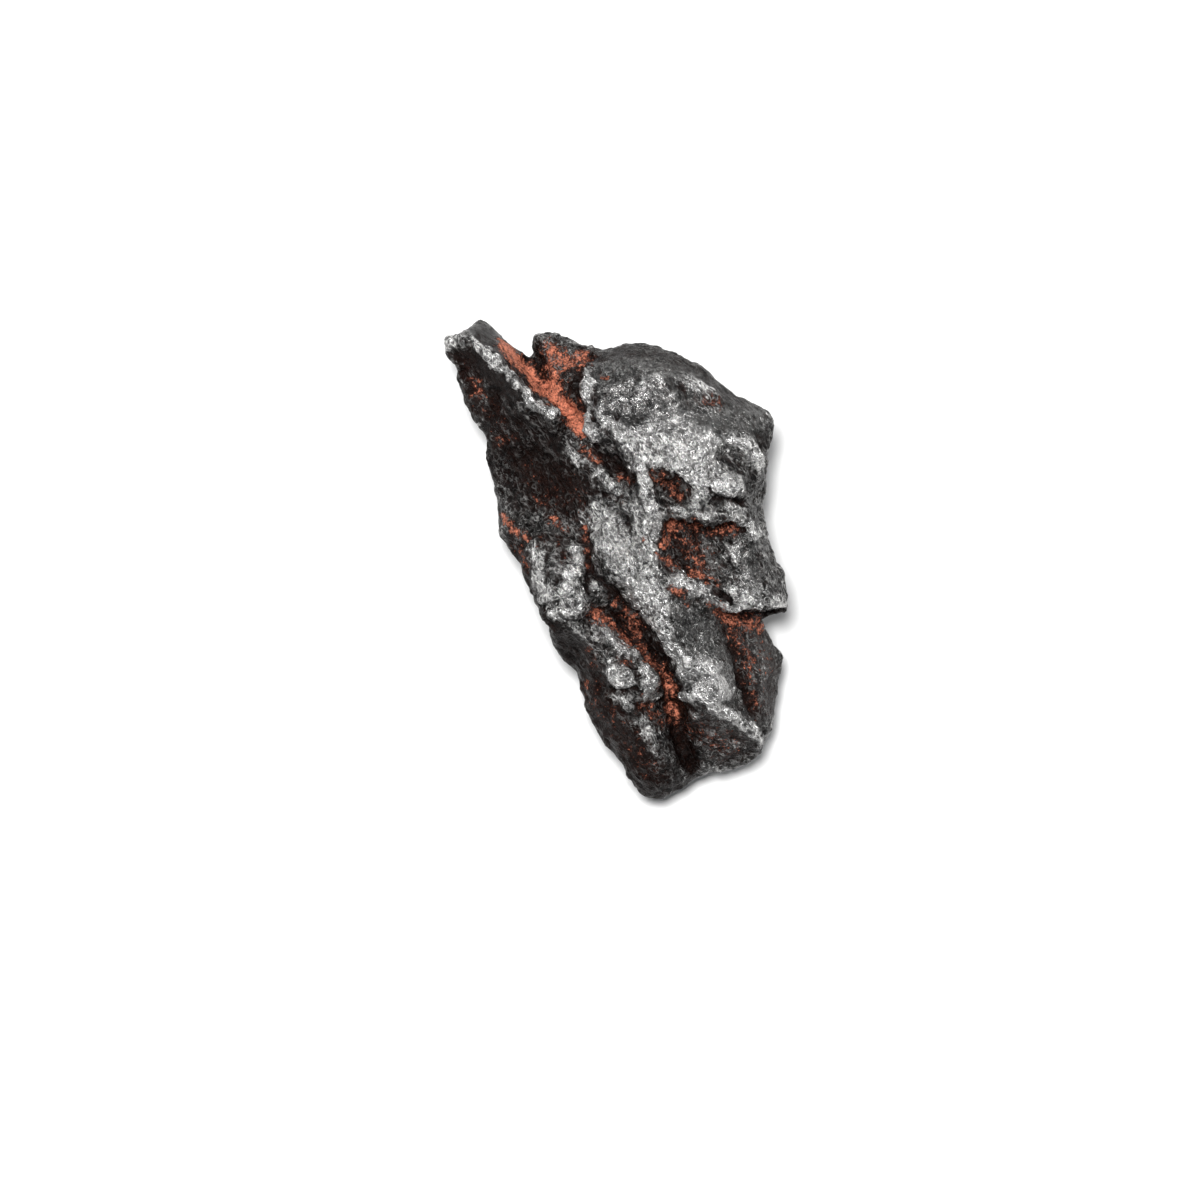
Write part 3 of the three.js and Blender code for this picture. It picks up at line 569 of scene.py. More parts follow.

# %% [markdown]
# ## Where the oxide and the painted shade are
# Nearly black oxide is painted over the broad hollow on the left, the underside of the horn, the lobes and
# the overhangs: partly the iron's own dark oxide, partly painted shade on faces that turn away from the
# lamp. The strokes are wide here, with soft borders.

# %% Oxide strokes
OXIDE_AND_SHADE_STROKES = {
    "broad hollow": ([(-9.6, 8.8), (-7.4, 7.8), (-5.2, 7.0), (-3.6, 6.4)], 4.0, 1.6),
    "hollow, upper": ([(-9.8, 12.0), (-7.4, 10.8), (-5.6, 9.8)], 2.8, 1.1),
    "hollow, foot": ([(-8.6, 4.8), (-4.4, 4.4), (-2.6, 5.2)], 1.7, 0.7),
    "hollow, left edge": ([(-10.2, 10.6), (-10.4, 7.0)], 1.5, 1.0),
    "hollow, lower right": ([(-6.6, 5.0), (-4.4, 4.2), (-2.8, 3.8)], 1.4, 0.8),
    "hollow, right edge": ([(-4.4, 10.4), (-3.2, 8.2), (-1.6, 6.4)], 1.3, 0.6),
    "horn, left side": ([(-13.1, 17.1), (-12.5, 15.2), (-11.6, 13.0)], 1.9, 1.2),
    "horn, under the knife edge": ([(-12.3, 17.2), (-10.0, 15.6), (-8.2, 13.8)], 1.4, 1.7),
    "horn, side crack": ([(-9.9, 14.0), (-9.75, 12.9), (-10.9, 10.7)], 0.8, 1.1),
    "horn, rear flank": ([(-11.2, 18.7), (-9.7, 17.2), (-8.0, 15.5), (-6.6, 14.0)], 1.1, 1.1),
    "left edge": ([(-8.6, 1.8), (-7.8, 0.4), (-7.4, -1.4)], 1.2, 1.2),
    "under the chin": ([(-7.6, -3.2), (-6.2, -5.8), (-4.6, -7.4), (-3.0, -9.4)], 2.6, 2.0),
    "left lobe": ([(-2.4, -10.2), (-1.0, -12.8), (0.8, -15.2), (2.6, -17.6), (3.6, -19.2)], 3.6, 1.7),
    "end facet": ([(6.2, -13.6), (9.0, -14.9), (11.6, -16.4)], 2.6, 0.65),
    "dome top": ([(-1.0, 17.2), (3.0, 17.3), (7.0, 16.2), (10.5, 13.6)], 1.8, 0.6),
    "lower cleft": ([(4.5, -9.4), (5.0, -12.4), (5.6, -15.6), (6.4, -17.4)], 1.5, 1.4),
    "right of the lump": ([(0.9, -4.2), (2.0, -5.8), (3.2, -7.4), (4.4, -9.2)], 1.2, 1.2),
    "under the ledge": ([(4.6, 2.9), (7.4, 2.7), (10.2, 2.7)], 0.9, 1.1),
    "second pit": ([(4.4, 2.0), (6.0, 1.2), (7.0, -0.2)], 1.9, 0.9),
    "dimple, lower": ([(0.0, 8.0), (1.5, 6.9)], 0.9, 1.3),
    "dimple, upper": ([(-1.8, 9.2), (-0.6, 8.4)], 0.8, 0.6),
    "rusty cleft": ([(-7.6, 17.2), (-5.0, 14.2), (-3.0, 11.4)], 1.4, 0.5),
    "under the spur": ([(8.4, -4.1), (9.6, -4.5), (11.0, -4.6), (12.4, -4.4), (13.8, -4.3)], 0.6, 2.2),
    "first pit": ([(3.5, 6.8), (4.8, 6.2), (5.6, 5.2)], 1.2, 0.9),
    "shoulder foot": ([(-3.2, 15.4), (-3.3, 13.4), (-2.7, 12.0)], 1.0, 1.0),
    "main crack": ([(-2.4, 3.0), (-2.4, 1.0), (-2.3, -1.4)], 0.8, 0.7),
    "crack's branch": ([(-1.9, -0.8), (-0.6, -2.1), (0.8, -3.6)], 0.35, 0.8),
    "right edge": ([(12.4, 10.6), (12.6, 8.6), (12.4, 5.6)], 0.9, 0.5),
    "back horn, crack": ([(-6.4, 17.8), (-6.1, 16.2), (-6.2, 15.0)], 0.7, 1.2),
    "right lobe, groove": ([(9.6, -6.0), (10.8, -9.0), (11.8, -12.4)], 1.5, 0.8),
    "right lobe, edge": ([(12.6, -5.6), (13.6, -8.4), (13.2, -12.0)], 1.6, 0.5),
    "crust, left": ([(-0.4, -5.8), (-1.6, -6.8), (-2.2, -8.6)], 1.1, 0.8),
    "under the crust": ([(-1.4, -10.6), (0.4, -10.9), (2.2, -12.2)], 0.8, 1.0),
}
print("oxide strokes:", len(OXIDE_AND_SHADE_STROKES))

# %% [markdown]
# ## Where the metal is bare or lit
# Bright metal is painted along the knife edge, round the pits, on the plateau with its knob, and down the
# bulge: partly worn metal, partly a painted highlight on faces that turn to the lamp.

# %% Bare strokes
BARE_AND_HIGHLIGHT_STROKES = {
    "horn tip": ([(-13.9, 18.7), (-13.6, 18.0)], 0.9, 1.2),
    "knife edge, upper": ([(-12.6, 18.5), (-11.7, 18.2), (-10.6, 17.2)], 0.35, 1.1),
    "knife edge, middle": ([(-10.6, 17.15), (-9.1, 15.75), (-7.3, 13.7)], 0.42, 3.0),
    "knife edge, lower": ([(-6.9, 13.1), (-5.9, 12.5), (-5.2, 12.0)], 0.7, 1.5),
    "shoulder edge": ([(-2.2, 14.8), (-2.5, 12.4), (-1.8, 10.2)], 0.7, 1.2),
    "shoulder streak": ([(-1.4, 12.4), (-0.9, 10.9)], 0.6, 1.3),
    "dimple lip": ([(-0.2, 11.3), (0.8, 10.2), (1.6, 9.1), (2.1, 7.8)], 0.9, 1.9),
    "middle crest, upper": ([(2.1, 7.6), (2.6, 6.2), (2.8, 4.6), (3.3, 3.2)], 0.6, 1.9),
    "plateau, upper": ([(2.4, 9.6), (4.6, 10.2), (7.0, 9.4)], 2.5, 2.0),
    "plateau, top edge": ([(3.0, 11.4), (4.8, 12.0), (6.2, 11.8)], 1.4, 0.7),
    "plateau, middle": ([(5.4, 8.6), (6.6, 8.0), (7.8, 7.2)], 2.2, 1.9),
    "plateau, lower": ([(6.8, 6.4), (7.1, 5.4)], 1.7, 1.3),
    "knob": ([(9.0, 6.5), (9.4, 6.1)], 1.6, 2.6),
    "right of the ledge": ([(9.6, 4.2), (11.0, 3.1), (11.8, 2.2)], 1.1, 1.1),
    "right rim": ([(9.7, 10.0), (10.7, 9.6), (12.0, 8.2)], 1.1, 1.1),
    "ledge": ([(4.6, 4.4), (6.4, 3.9), (8.0, 3.9)], 0.7, 0.7),
    "plateau, right": ([(7.6, 10.6), (8.4, 9.6)], 1.0, 0.9),
    "dome": ([(0.6, 13.0), (2.4, 13.6), (4.8, 12.2)], 3.6, 0.36),
    "dome arc": ([(-0.4, 12.9), (0.6, 13.4), (1.8, 13.5)], 0.8, 0.55),
    "dome tuft": ([(6.0, 14.9), (6.8, 14.6), (7.7, 14.0)], 1.0, 0.8),
    "dome swirl": ([(2.2, 14.4), (3.0, 15.1), (4.2, 14.8)], 0.7, 0.6),
    "column, side": ([(6.3, -5.0), (7.4, -7.4)], 2.0, 0.35),
    "middle crest, lower": ([(1.6, 4.6), (2.4, 2.4), (2.8, 0.4)], 1.3, 1.0),
    "hollow, right edge": ([(-3.4, 8.8), (-0.8, 6.7), (1.6, 4.8)], 0.9, 0.6),
    "hollow, lower right": ([(-2.4, 6.4), (0.2, 4.4)], 0.8, 0.55),
    "bulge": ([(-1.2, 3.2), (0.2, 1.4), (1.2, -0.6), (2.2, -2.4), (3.0, -4.4)], 2.4, 1.25),
    "column crest": ([(3.4, -5.4), (4.2, -6.8), (5.0, -7.7)], 1.3, 1.3),
    "column crest, foot": ([(5.5, -8.2), (5.7, -8.9)], 0.7, 1.3),
    "column corner": ([(5.6, -11.0), (5.4, -11.5)], 0.6, 1.1),
    "lower ridge": ([(4.6, -1.5), (5.8, -1.7), (7.2, -2.1), (8.4, -3.2), (9.2, -3.9)], 0.95, 1.5),
    "spur edge": ([(9.7, -2.4), (10.8, -3.2), (12.9, -3.8), (13.6, -3.5)], 0.9, 1.2),
    "spur, upper": ([(10.2, 1.8), (9.8, 0.2)], 1.1, 0.55),
    "spur, all over": ([(8.4, 0.4), (10.4, -1.2), (12.2, -2.4)], 2.6, 0.3),
    "left lump, outer": ([(-6.5, 0.5), (-6.4, -1.2), (-6.2, -3.2)], 0.9, 1.15),
    "left lump, inner": ([(-3.2, 0.7), (-3.4, -0.8), (-3.9, -2.4)], 1.0, 1.2),
    "left lump, foot": ([(-6.0, -3.0), (-4.6, -4.1), (-3.4, -3.4)], 1.8, 0.9),
    "left lump, middle": ([(-4.9, 0.2), (-4.8, -1.6)], 1.0, 0.35),
    "small ledge": ([(-1.8, -2.0), (-1.3, -2.6)], 0.7, 0.9),
    "first crust lump": ([(-0.4, -9.1), (0.6, -9.6), (1.0, -10.2)], 1.1, 1.6),
    "second crust lump": ([(2.6, -9.2), (3.0, -10.2), (3.0, -11.1)], 1.0, 1.5),
    "third crust lump": ([(0.2, -11.3), (1.2, -12.0)], 0.8, 1.4),
    "crust strip": ([(-1.2, -5.2), (0.0, -6.6), (1.4, -7.6)], 0.9, 0.9),
    "column, top": ([(7.2, -8.8), (8.0, -9.9), (8.6, -10.7)], 2.0, 1.15),
    "end of column": ([(6.5, -11.05), (8.2, -12.1), (10.1, -13.1)], 0.65, 1.8),
    "end of column, right": ([(10.7, -13.5), (12.5, -15.3)], 0.6, 0.9),
    "left lobe": ([(2.2, -13.4), (3.0, -15.0), (3.6, -17.0)], 1.4, 0.45),
    "end facet": ([(8.2, -14.6), (10.2, -15.4)], 1.2, 0.5),
}
print("bare strokes:", len(BARE_AND_HIGHLIGHT_STROKES))

# %% [markdown]
# ## Masks on the points
# The strokes are joined with what the shape tells: cracks, hollows, steep walls and the back are darker,
# as painted shade, and ridges are brighter, as a painted highlight; cracks and ridges also hold real oxide
# and worn metal. The results are stored as attributes of the mesh, which the material reads by name.


# %% Lay the strokes down
def laid_down(marks):
    """The strongest of several marks at each point."""
    result = np.zeros(len(points))
    for line, width, strength in marks.values():
        result = np.maximum(result, strength * soft(nearness(line, width)))
    return result


# %% Oxide and painted shade, bare metal and painted highlights
OXIDE_AND_SHADE_IN_CRACKS = 0.9
SHADE_PAINTED_IN_HOLLOWS = 0.5
# The back, which faces down, is made darker in the colour by this share.
DARKER_ON_BACK = 0.3
SHADE_PAINTED_ON_WALLS = 0.6
HIGHLIGHT_PAINTED_ON_RIDGES = 0.3
WEAR_AND_HIGHLIGHT_ON_CRESTS = 0.3
RUBBED_HIDES_HOLLOWS = 0.9
RUBBED_HIDES_CRESTS = 0.5
WALL, SLOPE = 0.25, 0.75
MOST_BARE = 1.2

# Steep walls are made darker in the colour: painted shade, where faces turn away from the lamp.
steep = 1 - smooth_step(normals_of(points)[:, 2], WALL, SLOPE)
# The bare mask holds worn metal and painted highlights together.
bare = laid_down(BARE_AND_HIGHLIGHT_STROKES) + HIGHLIGHT_PAINTED_ON_RIDGES * bright
# Crests of the shape are painted lighter: partly worn metal, partly a painted highlight.
bare += WEAR_AND_HIGHLIGHT_ON_CRESTS * crest * (1 + back) * (1 - RUBBED_HIDES_CRESTS * rubbed)
bare = np.clip(bare, 0, MOST_BARE)
# This sum is the oxide mask: real oxide and painted shade together.
oxide_and_painted_shade = laid_down(OXIDE_AND_SHADE_STROKES) + OXIDE_AND_SHADE_IN_CRACKS * dark + DARKER_ON_BACK * back + SHADE_PAINTED_ON_WALLS * steep
# Hollows of the shape are made darker in the colour: painted shade, as ambient occlusion would give.
oxide_and_painted_shade += SHADE_PAINTED_IN_HOLLOWS * hollow * (1 - RUBBED_HIDES_HOLLOWS * rubbed)
print("points with bare metal:", int((bare > 0.5).sum()), "with oxide:", int((oxide_and_painted_shade > 0.5).sum()))

# %% Store the masks
RUST_IN_HOLLOWS = 0.1
RUST_IN_BACK_HOLLOWS = 0.45
MOST_RUST, MOST_OXIDE = 1.5, 1.3
DARKEST_STARTS, DARKEST_FULL = 1.25, 1.9
BARE_HIDES_RUBBING = 0.6

rusted = laid_down(RUSTY) + RUST_IN_HOLLOWS * hollow + RUST_IN_BACK_HOLLOWS * hollow * back
masks = {
    "rust": np.clip(rusted, 0, MOST_RUST),
    # The oxide attribute carries real oxide and painted shade together.
    "oxide": np.clip(oxide_and_painted_shade, 0, MOST_OXIDE),
    # The darkest share of oxide and painted shade, where the threads' painted glints are held back.
    "darkest": smooth_step(oxide_and_painted_shade, DARKEST_STARTS, DARKEST_FULL) * (1 - np.minimum(bare, 1)),
    "bare": bare,
    "rubbed": rubbed * (1 - BARE_HIDES_RUBBING * np.minimum(bare, 1)),
}
for name, values in masks.items():
    layer = meteorite_mesh.attributes.new(name, "FLOAT", "POINT")
    layer.data.foreach_set("value", values.astype(np.float32))
    print(name, "covers", round(100 * float((values > 0.5).mean())), "% of the points")

# %% [markdown]
# ## The piece
# The carved mesh becomes an object. It stands for the solid and rides on it.

# %% Make the piece
meteorite = bpy.data.objects.new("iron_meteorite", meteorite_mesh)
bpy.context.collection.objects.link(meteorite)
meteorite_mesh.polygons.foreach_set("use_smooth", np.ones(len(triangles), dtype=bool))
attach(meteorite, "root")
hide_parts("meteorite")

# %% [markdown]
# ## Shader groups
# The finish of the iron is four effects over each other: grain, streaks, rust and the tone of the metal.
# In one flat tree of nodes they would be hard to tell apart, so each is a node group with named inputs
# and outputs, built once. `Group` keeps the wiring short: it makes the group's sockets, adds nodes and
# joins them.

# %% Adding nodes
FLOAT, COLOUR, VECTOR = "NodeSocketFloat", "NodeSocketColor", "NodeSocketVector"


def wire(tree, socket, value):
    """Gives an input its value, or its link."""
    if isinstance(value, bpy.types.NodeSocket):
        tree.links.new(value, socket)
    else:
        socket.default_value = value


def add_node(tree, kind, settings=None, **wires):
    """Adds a node to a tree and sets its properties. Wires are socket names, or numbers after an underscore,
    each with a value or a socket."""
    node = tree.nodes.new("ShaderNode" + kind)
    for key, value in (settings or {}).items():
        setattr(node, key, value)
    for key, value in wires.items():
        socket = node.inputs[int(key[1:])] if key[0] == "_" else node.inputs[key.replace("_", " ")]
        wire(tree, socket, value)
    return node


# %% Sums, steps and mixes
def maths(tree, operation, *values):
    """A Math node's result."""
    wires = {f"_{i}": value for i, value in enumerate(values)}
    return add_node(tree, "Math", {"operation": operation}, **wires).outputs[0]


def less(tree, share, value):
    """1, less a share of a value."""
    return maths(tree, "MULTIPLY_ADD", value, -share, 1.0)


def between(tree, value, low, high):
    """A soft step of a value, from 0 at low to 1 at high."""
    wires = {"_0": value, "_1": low, "_2": high}
    return add_node(tree, "MapRange", {"interpolation_type": "SMOOTHSTEP"}, **wires).outputs[0]


def blend(tree, share, first, second):
    """A mix of two colours, by a share from 0 to 1."""
    wires = {"_0": share, "_6": first, "_7": second}
    return add_node(tree, "Mix", {"data_type": "RGBA"}, **wires).outputs[2]


# %% Groups
class Group:
    """A shader node group under construction."""

    def __init__(self, name, inputs, outputs):
        self.tree = bpy.data.node_groups.new(name, "ShaderNodeTree")
        for direction, sockets in (("INPUT", inputs), ("OUTPUT", outputs)):
            for socket_name, kind in sockets.items():
                self.tree.interface.new_socket(socket_name, in_out=direction, socket_type=kind)
        self.inputs = self.tree.nodes.new("NodeGroupInput").outputs
        self.outputs = self.tree.nodes.new("NodeGroupOutput").inputs

    def add(self, kind, settings=None, **wires):
        """Adds a node, as add_node does."""
        return add_node(self.tree, kind, settings, **wires)

    def maths(self, operation, *values):
        return maths(self.tree, operation, *values)

    def less(self, share, value):
        return less(self.tree, share, value)

    def between(self, value, low, high):
        return between(self.tree, value, low, high)

    def blend(self, share, first, second):
        return blend(self.tree, share, first, second)

    def drawn_out(self, stretch):
        """The group's own Vector, drawn out along the flow of the metal."""
        return self.add("Mapping", {"vector_type": "TEXTURE"}, Vector=self.inputs["Vector"],
                        Rotation=(0, 0, FLOW_ANGLE), Scale=(stretch, 1, 1)).outputs[0]

    def out(self, name, socket):
        self.tree.links.new(socket, self.outputs[name])


FLOW_ANGLE = math.atan2(FLOW[1], FLOW[0])

# %% [markdown]
# ### Grain
# The skin of the iron is a fine crust of curled threads, a tenth of a millimetre thick. Modelled threads
# would take millions of triangles, and a picture of them would repeat. A noise has a curled line wherever
# it passes its middle value, so the threads are drawn there in near-white, as painted glints, and the gaps
# away from them in black, as painted shade. A second, broader noise gathers the threads in tufts. The mask
# for rubbed metal quietens it all.

# %% Grain group
CRINKLES_PER_METRE = 1300.0
CRINKLE_STRETCH, CURL_STRETCH = 2.2, 1.4
THREAD_CORE, THREAD_EDGE = 0.01, 0.07
GAP_EDGE, GAP_CORE = 0.045, 0.13
TUFT_START, TUFT_FULL = 0.42, 0.6
THREAD_RISE = 0.2
LOOSE_THREADS = 0.05

grain = Group("Crystal grain", {"Vector": VECTOR, "Grains per metre": FLOAT, "Rubbed": FLOAT},
              {"Height": FLOAT, "Flecks": FLOAT, "Gaps": FLOAT})
calm = grain.less(0.55, grain.inputs["Rubbed"])
crinkles = grain.add("TexNoise", None, Vector=grain.drawn_out(CRINKLE_STRETCH), Scale=CRINKLES_PER_METRE,
                     Detail=5.0, Roughness=0.68, Distortion=0.3).outputs[0]
curls = grain.add("TexNoise", None, Vector=grain.drawn_out(CURL_STRETCH),
                  Scale=grain.inputs["Grains per metre"], Detail=2.0, Roughness=0.6,
                  Distortion=0.5).outputs[0]
off_middle = grain.maths("ABSOLUTE", grain.maths("SUBTRACT", curls, 0.5))
threads = grain.maths("SUBTRACT", 1.0, grain.between(off_middle, THREAD_CORE, THREAD_EDGE))
tufts = grain.between(crinkles, TUFT_START, TUFT_FULL)
held = grain.maths("MULTIPLY_ADD", tufts, 1 - LOOSE_THREADS, LOOSE_THREADS)
gathered = grain.maths("MULTIPLY", threads, held)
gaps = grain.maths("MULTIPLY", grain.between(off_middle, GAP_EDGE, GAP_CORE), grain.less(0.5, tufts))
risen = grain.maths("MULTIPLY_ADD", threads, THREAD_RISE, crinkles)
# Flecks are the threads, which the tone paints near-white as glints; Gaps are painted black as shade.
grain.out("Flecks", grain.maths("MULTIPLY", gathered, calm))
grain.out("Gaps", grain.maths("MULTIPLY", gaps, calm))
grain.out("Height", grain.maths("MULTIPLY", risen, calm))
print("nodes in the grain:", len(grain.tree.nodes))

# %% [markdown]
# ### Streaks
# The rubbed planes carry fine streaks along the flow of the metal. A Wave texture would draw them evenly,
# like machining, so they are a noise that is drawn out a long way instead.

# %% Streak group
STREAKS_PER_METRE = 3600.0
STREAK_STRETCH = 7

streaks = Group("Streaks", {"Vector": VECTOR, "Rubbed": FLOAT}, {"Height": FLOAT, "Shade": FLOAT})
lines = streaks.add("TexNoise", None, Vector=streaks.drawn_out(STREAK_STRETCH), Scale=STREAKS_PER_METRE,
                    Detail=3.0, Roughness=0.6).outputs[0]
streaks.out("Height", streaks.maths("MULTIPLY", lines, streaks.inputs["Rubbed"]))
streaks.out("Shade", streaks.between(lines, 0.3, 0.7))
print("nodes in the streaks:", len(streaks.tree.nodes))

# %% [markdown]
# ### Rust
# Rust creeps out of the cracks in ragged patches, dark red-brown where it is thin and orange where it is
# thick. Using the mask as it is would give it a soft, airbrushed border. So the mask only raises a noise,
# and rust lies where the sum passes a limit. A thin brown stain starts a little before it.

# %% Rust group
CLUMPS_PER_METRE, SPECKS_PER_METRE = 2200.0, 5200.0
RUST_REACH, RUST_START = 1.8, -4.3
RAGGEDNESS, CRUSTINESS = 6.0, 5.0
RUST_EDGE, STAIN_EDGE, THICKENING = (-0.1, 0.25), (-1.7, 0.2), (2.4, 4.2)
STAIN_STRENGTH = 0.65
THIN_RUST = (0.045, 0.016, 0.0115, 1)
THICK_RUST = (0.66, 0.225, 0.135, 1)

rust = Group("Rust", {"Vector": VECTOR, "Amount": FLOAT}, {"Color": COLOUR, "Cover": FLOAT, "Stain": FLOAT})
clumps = rust.add("TexNoise", None, Vector=rust.inputs["Vector"], Scale=CLUMPS_PER_METRE, Detail=5.0,
                  Roughness=0.75).outputs[0]
specks = rust.add("TexNoise", None, Vector=rust.inputs["Vector"], Scale=SPECKS_PER_METRE, Detail=2.0,
                  Roughness=0.7).outputs[0]
raised = rust.maths("MULTIPLY_ADD", rust.inputs["Amount"], RUST_REACH, RUST_START)
edge = rust.maths("MULTIPLY_ADD", clumps, RAGGEDNESS, raised)
thick = rust.maths("MULTIPLY_ADD", specks, CRUSTINESS, edge)
rust.out("Cover", rust.between(edge, *RUST_EDGE))
rust.out("Stain", rust.maths("MULTIPLY", rust.between(edge, *STAIN_EDGE), STAIN_STRENGTH))
rust.out("Color", rust.blend(rust.between(thick, *THICKENING), THIN_RUST, THICK_RUST))
print("nodes in the rust:", len(rust.tree.nodes))

# %% [markdown]
# ### Tone of the metal
# Weathered iron is dark grey, and lighter where it is streaked. Bare iron is bright, partly worn metal and
# partly a painted highlight, and oxide is nearly black, partly the iron's own oxide and partly painted
# shade.
# Each is a colour, and they are laid over each other by the masks, whose borders one mottled noise makes
# uneven. The threads of the grain are painted glints, brightest on bare metal and hardly at all where the
# oxide and painted shade are darkest.

# %% Tone group
WEATHERED_DARK = (0.042, 0.042, 0.041, 1)
WEATHERED_LIGHT = (0.1, 0.099, 0.096, 1)
STREAKED_IRON = (0.25, 0.248, 0.243, 1)
BARE_IRON_AND_HIGHLIGHT = (0.54, 0.536, 0.528, 1)
DEEP_OXIDE_AND_SHADE = (0.0012, 0.0006, 0.0005, 1)
BROWN_OXIDE_AND_SHADE = (0.008, 0.0038, 0.0028, 1)
THREAD_GLINT_WHITE = (1.0, 0.985, 0.96, 1)
GAP_SHADE_BLACK = (0.004, 0.0033, 0.003, 1)
MOTTLES_PER_METRE = 1300.0
MOTTLING = 2.4

tone = Group("Weathered tone",
             {"Vector": VECTOR, "Oxide": FLOAT, "Bare": FLOAT, "Streak": FLOAT, "Flecks": FLOAT,
              "Gaps": FLOAT, "Rubbed": FLOAT, "Soot": FLOAT},
             {"Color": COLOUR, "Metal": FLOAT})
mottle = tone.add("TexNoise", None, Vector=tone.inputs["Vector"], Scale=MOTTLES_PER_METRE, Detail=6.0,
                  Roughness=0.75).outputs[0]
patchy = tone.between(mottle, 0.4, 0.6)
swing = tone.maths("MULTIPLY_ADD", mottle, MOTTLING, -MOTTLING / 2)
uneven = tone.maths("MULTIPLY", swing, tone.less(0.6, tone.inputs["Rubbed"]))

# %% Metal, from weathered to bare, with painted highlights
WEAR_STARTS, WEAR_FULL = 0.2, 1.1

weathered = tone.blend(patchy, WEATHERED_DARK, WEATHERED_LIGHT)
streaked = tone.blend(tone.inputs["Streak"], weathered, STREAKED_IRON)
# The bare mask paints worn metal and painted highlights in the same light colour.
wear_and_highlight = tone.between(tone.maths("ADD", tone.inputs["Bare"], uneven), WEAR_STARTS, WEAR_FULL)
worn = tone.blend(wear_and_highlight, streaked, BARE_IRON_AND_HIGHLIGHT)

# %% Oxide and painted shade over the metal
OXIDE_STARTS, OXIDE_FULL = 0.05, 0.95

oxide_and_shade_past_bare = tone.maths("SUBTRACT", tone.inputs["Oxide"], tone.maths("MULTIPLY", tone.inputs["Bare"], 0.5))
# black lays real oxide and painted shade over the metal in one near-black colour.
black = tone.between(tone.maths("SUBTRACT", oxide_and_shade_past_bare, uneven), OXIDE_STARTS, OXIDE_FULL)
ground = tone.blend(black, worn, tone.blend(patchy, DEEP_OXIDE_AND_SHADE, BROWN_OXIDE_AND_SHADE))

# %% Painted glints on the threads and painted shade in the gaps, over both
GLINT_ON_GREY = 0.28
GAP_SHARE, GAP_LOST_TO_WEAR = 0.95, 0.15
METAL_SHARE, METAL_LOST_TO_OXIDE = 0.95, 0.9

clear = tone.maths("MULTIPLY", tone.less(0.66, black), tone.less(0.8, tone.inputs["Soot"]))
shine = tone.maths("MULTIPLY_ADD", wear_and_highlight, 1 - GLINT_ON_GREY, GLINT_ON_GREY)
lively = tone.maths("MULTIPLY", shine, clear)
painted_glint = tone.maths("MULTIPLY", tone.inputs["Flecks"], lively)
open_gaps = tone.maths("MULTIPLY_ADD", wear_and_highlight, -GAP_LOST_TO_WEAR, GAP_SHARE)
gap_shade = tone.maths("MULTIPLY", tone.inputs["Gaps"], open_gaps)
tone.out("Color", tone.blend(gap_shade, tone.blend(painted_glint, ground, THREAD_GLINT_WHITE), GAP_SHADE_BLACK))
tone.out("Metal", tone.maths("MULTIPLY_ADD", black, -METAL_LOST_TO_OXIDE, METAL_SHARE))
print("nodes in the tone:", len(tone.tree.nodes))

# %% [markdown]
# ## The material
# The masks come from the points, the groups turn them into colour, metal and height, and one Principled
# shader takes them. Rust and oxide aren't metal, and rust is rougher than iron. The patterns read the
# object's own coordinates, so they stay put from every side and need no unwrapping.

# %% Start the material
GRAINS_PER_METRE = 1950.0

iron = bpy.data.materials.new("weathered_iron")
iron.use_nodes = True
nodes = iron.node_tree
shader = nodes.nodes["Principled BSDF"]
place = add_node(nodes, "TexCoord").outputs["Object"]
mask = {name: add_node(nodes, "Attribute", {"attribute_name": name}).outputs["Fac"] for name in masks}


def use(group, **wires):
    """Puts a finished group into the material."""
    node = nodes.nodes.new("ShaderNodeGroup")
    node.node_tree = group.tree
    for key, value in wires.items():
        wire(nodes, node.inputs[key.replace("_", " ")], value)
    return node.outputs


# %% Place the groups
grain_here = use(grain, Vector=place, Grains_per_metre=GRAINS_PER_METRE, Rubbed=mask["rubbed"])
streaks_here = use(streaks, Vector=place, Rubbed=mask["rubbed"])
rust_here = use(rust, Vector=place, Amount=mask["rust"])
streak_shade = maths(nodes, "MULTIPLY", streaks_here["Shade"], maths(nodes, "MULTIPLY", mask["rubbed"], 0.6))
tone_here = use(tone, Vector=place, Oxide=mask["oxide"], Bare=mask["bare"], Streak=streak_shade,
                Flecks=grain_here["Flecks"], Gaps=grain_here["Gaps"], Rubbed=mask["rubbed"],
                Soot=mask["darkest"])

# %% Rust and stain over the metal
STAIN_BROWN = (0.018, 0.007, 0.005, 1)


def between_flecks(amount, held_off):
    """An amount that the bright threads hold off."""
    return maths(nodes, "MULTIPLY", amount, less(nodes, held_off, grain_here["Flecks"]))


rust_cover = between_flecks(rust_here["Cover"], 0.5)
stain = between_flecks(rust_here["Stain"], 0.6)
stained = blend(nodes, stain, tone_here["Color"], STAIN_BROWN)
colour = blend(nodes, rust_cover, stained, rust_here["Color"])
clean = maths(nodes, "SUBTRACT", 1.0, maths(nodes, "MAXIMUM", rust_cover, stain))
metal = maths(nodes, "MULTIPLY", tone_here["Metal"], clean)

# %% Gloss and bump
LEAST_ROUGH, GRAIN_ROUGH, RUST_ROUGH = 0.16, 0.2, 0.4
STREAK_RISE = 0.25
BUMP_RISE, BUMP_STRENGTH = 0.5 * MM, 0.8
DULL_GLINT = 0.06

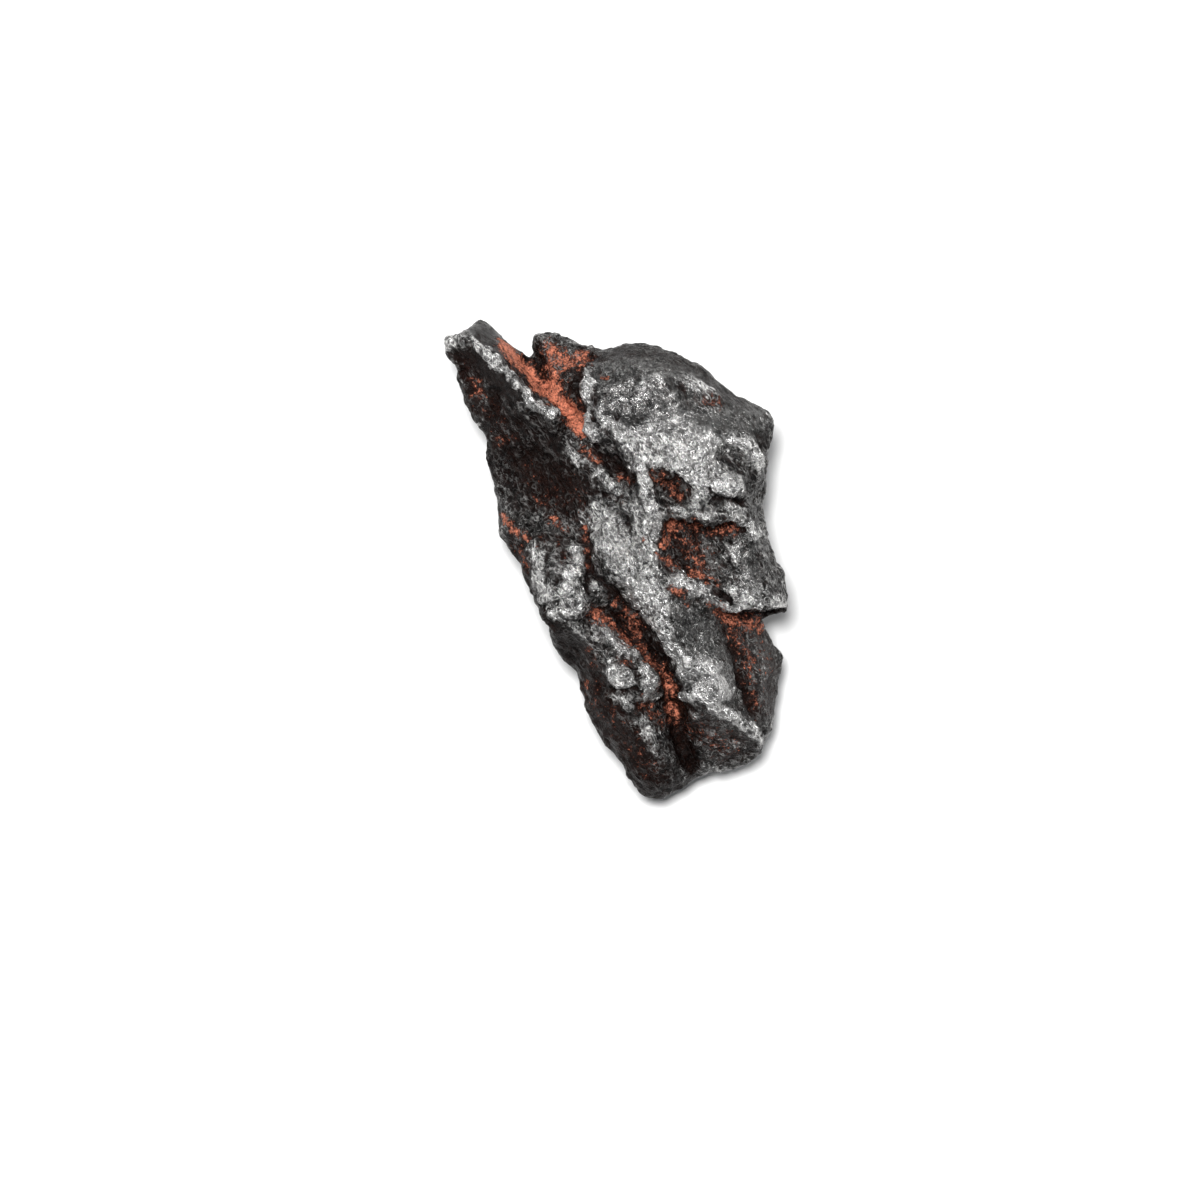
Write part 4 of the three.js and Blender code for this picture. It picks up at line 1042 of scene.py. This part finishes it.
gloss = maths(nodes, "MULTIPLY_ADD", grain_here["Height"], GRAIN_ROUGH, LEAST_ROUGH)
rough = maths(nodes, "MULTIPLY_ADD", rust_cover, RUST_ROUGH, gloss)
height = maths(nodes, "MULTIPLY_ADD", streaks_here["Height"], STREAK_RISE, grain_here["Height"])
bump = add_node(nodes, "Bump", None, Strength=BUMP_STRENGTH, Distance=BUMP_RISE, Height=height)
for socket, source in (("Base Color", colour), ("Metallic", metal), ("Roughness", rough),
                       ("Normal", bump.outputs[0])):
    nodes.links.new(source, shader.inputs[socket])
shader.inputs["Specular IOR Level"].default_value = DULL_GLINT
meteorite_mesh.materials.append(iron)
print("nodes in the material:", len(nodes.nodes))

# %% [markdown]
# ## The floor
# The lump lies on a plain sheet of pale paper, so that nothing draws the eye from it. A faint fibre keeps
# the sheet from looking like a void.

# %% Lay the floor
FLOOR_SIZE = 3.0
FIBRES_PER_METRE = 400.0
PAPER_DARK = (0.86, 0.86, 0.855, 1)
PAPER_LIGHT = (0.9, 0.9, 0.895, 1)

floor_mesh = bpy.data.meshes.new("floor")
sheet = bmesh.new()
bmesh.ops.create_grid(sheet, x_segments=1, y_segments=1, size=FLOOR_SIZE / 2)
sheet.to_mesh(floor_mesh)
sheet.free()
floor = bpy.data.objects.new("floor", floor_mesh)
bpy.context.collection.objects.link(floor)

# %% Paper
paper = bpy.data.materials.new("pale_paper")
paper.use_nodes = True
paper_shader = paper.node_tree.nodes["Principled BSDF"]
paper_shader.inputs["Roughness"].default_value = 0.9
paper_place = add_node(paper.node_tree, "TexCoord").outputs["Object"]
fibres = add_node(paper.node_tree, "TexNoise", None, Vector=paper_place, Scale=FIBRES_PER_METRE,
                  Detail=4.0).outputs[0]
paper_colour = blend(paper.node_tree, fibres, PAPER_DARK, PAPER_LIGHT)
paper.node_tree.links.new(paper_colour, paper_shader.inputs["Base Color"])
floor_mesh.materials.append(paper)

# %% [markdown]
# ## The light
# Grainy metal needs one strong lamp to sparkle, and the photograph is lit from near the camera. So a
# small key lamp hangs over the lump, a little to the upper left. A broad fill from the upper right and a
# dim sky keep the shadows from going black. What faces the viewer is lit, and what turns away falls dark.


# %% Hang the lamps
def lamp(name, place, size, watts):
    """A square soft lamp at a place in metres, facing the lump."""
    data = bpy.data.lights.new(name, "AREA")
    data.size = size
    data.energy = watts
    thing = bpy.data.objects.new(name, data)
    thing.location = place
    thing.rotation_euler = (LOOK_AT - Vector(place)).to_track_quat("-Z", "Y").to_euler()
    bpy.context.collection.objects.link(thing)


lamp("key", (-0.03, 0.05, 0.37), 0.08, 1.85)
lamp("fill", (0.30, 0.26, 0.28), 0.30, 0.5)

# %% Sky and tones
SKY = (0.95, 0.97, 1.0, 1)
SKY_STRENGTH = 0.13

world = bpy.data.worlds.new("studio")
bpy.context.scene.world = world
world.use_nodes = True
world.node_tree.nodes["Background"].inputs["Color"].default_value = SKY
world.node_tree.nodes["Background"].inputs["Strength"].default_value = SKY_STRENGTH
bpy.context.scene.view_settings.view_transform = "Standard"
print("lamps:", len(bpy.data.lights))
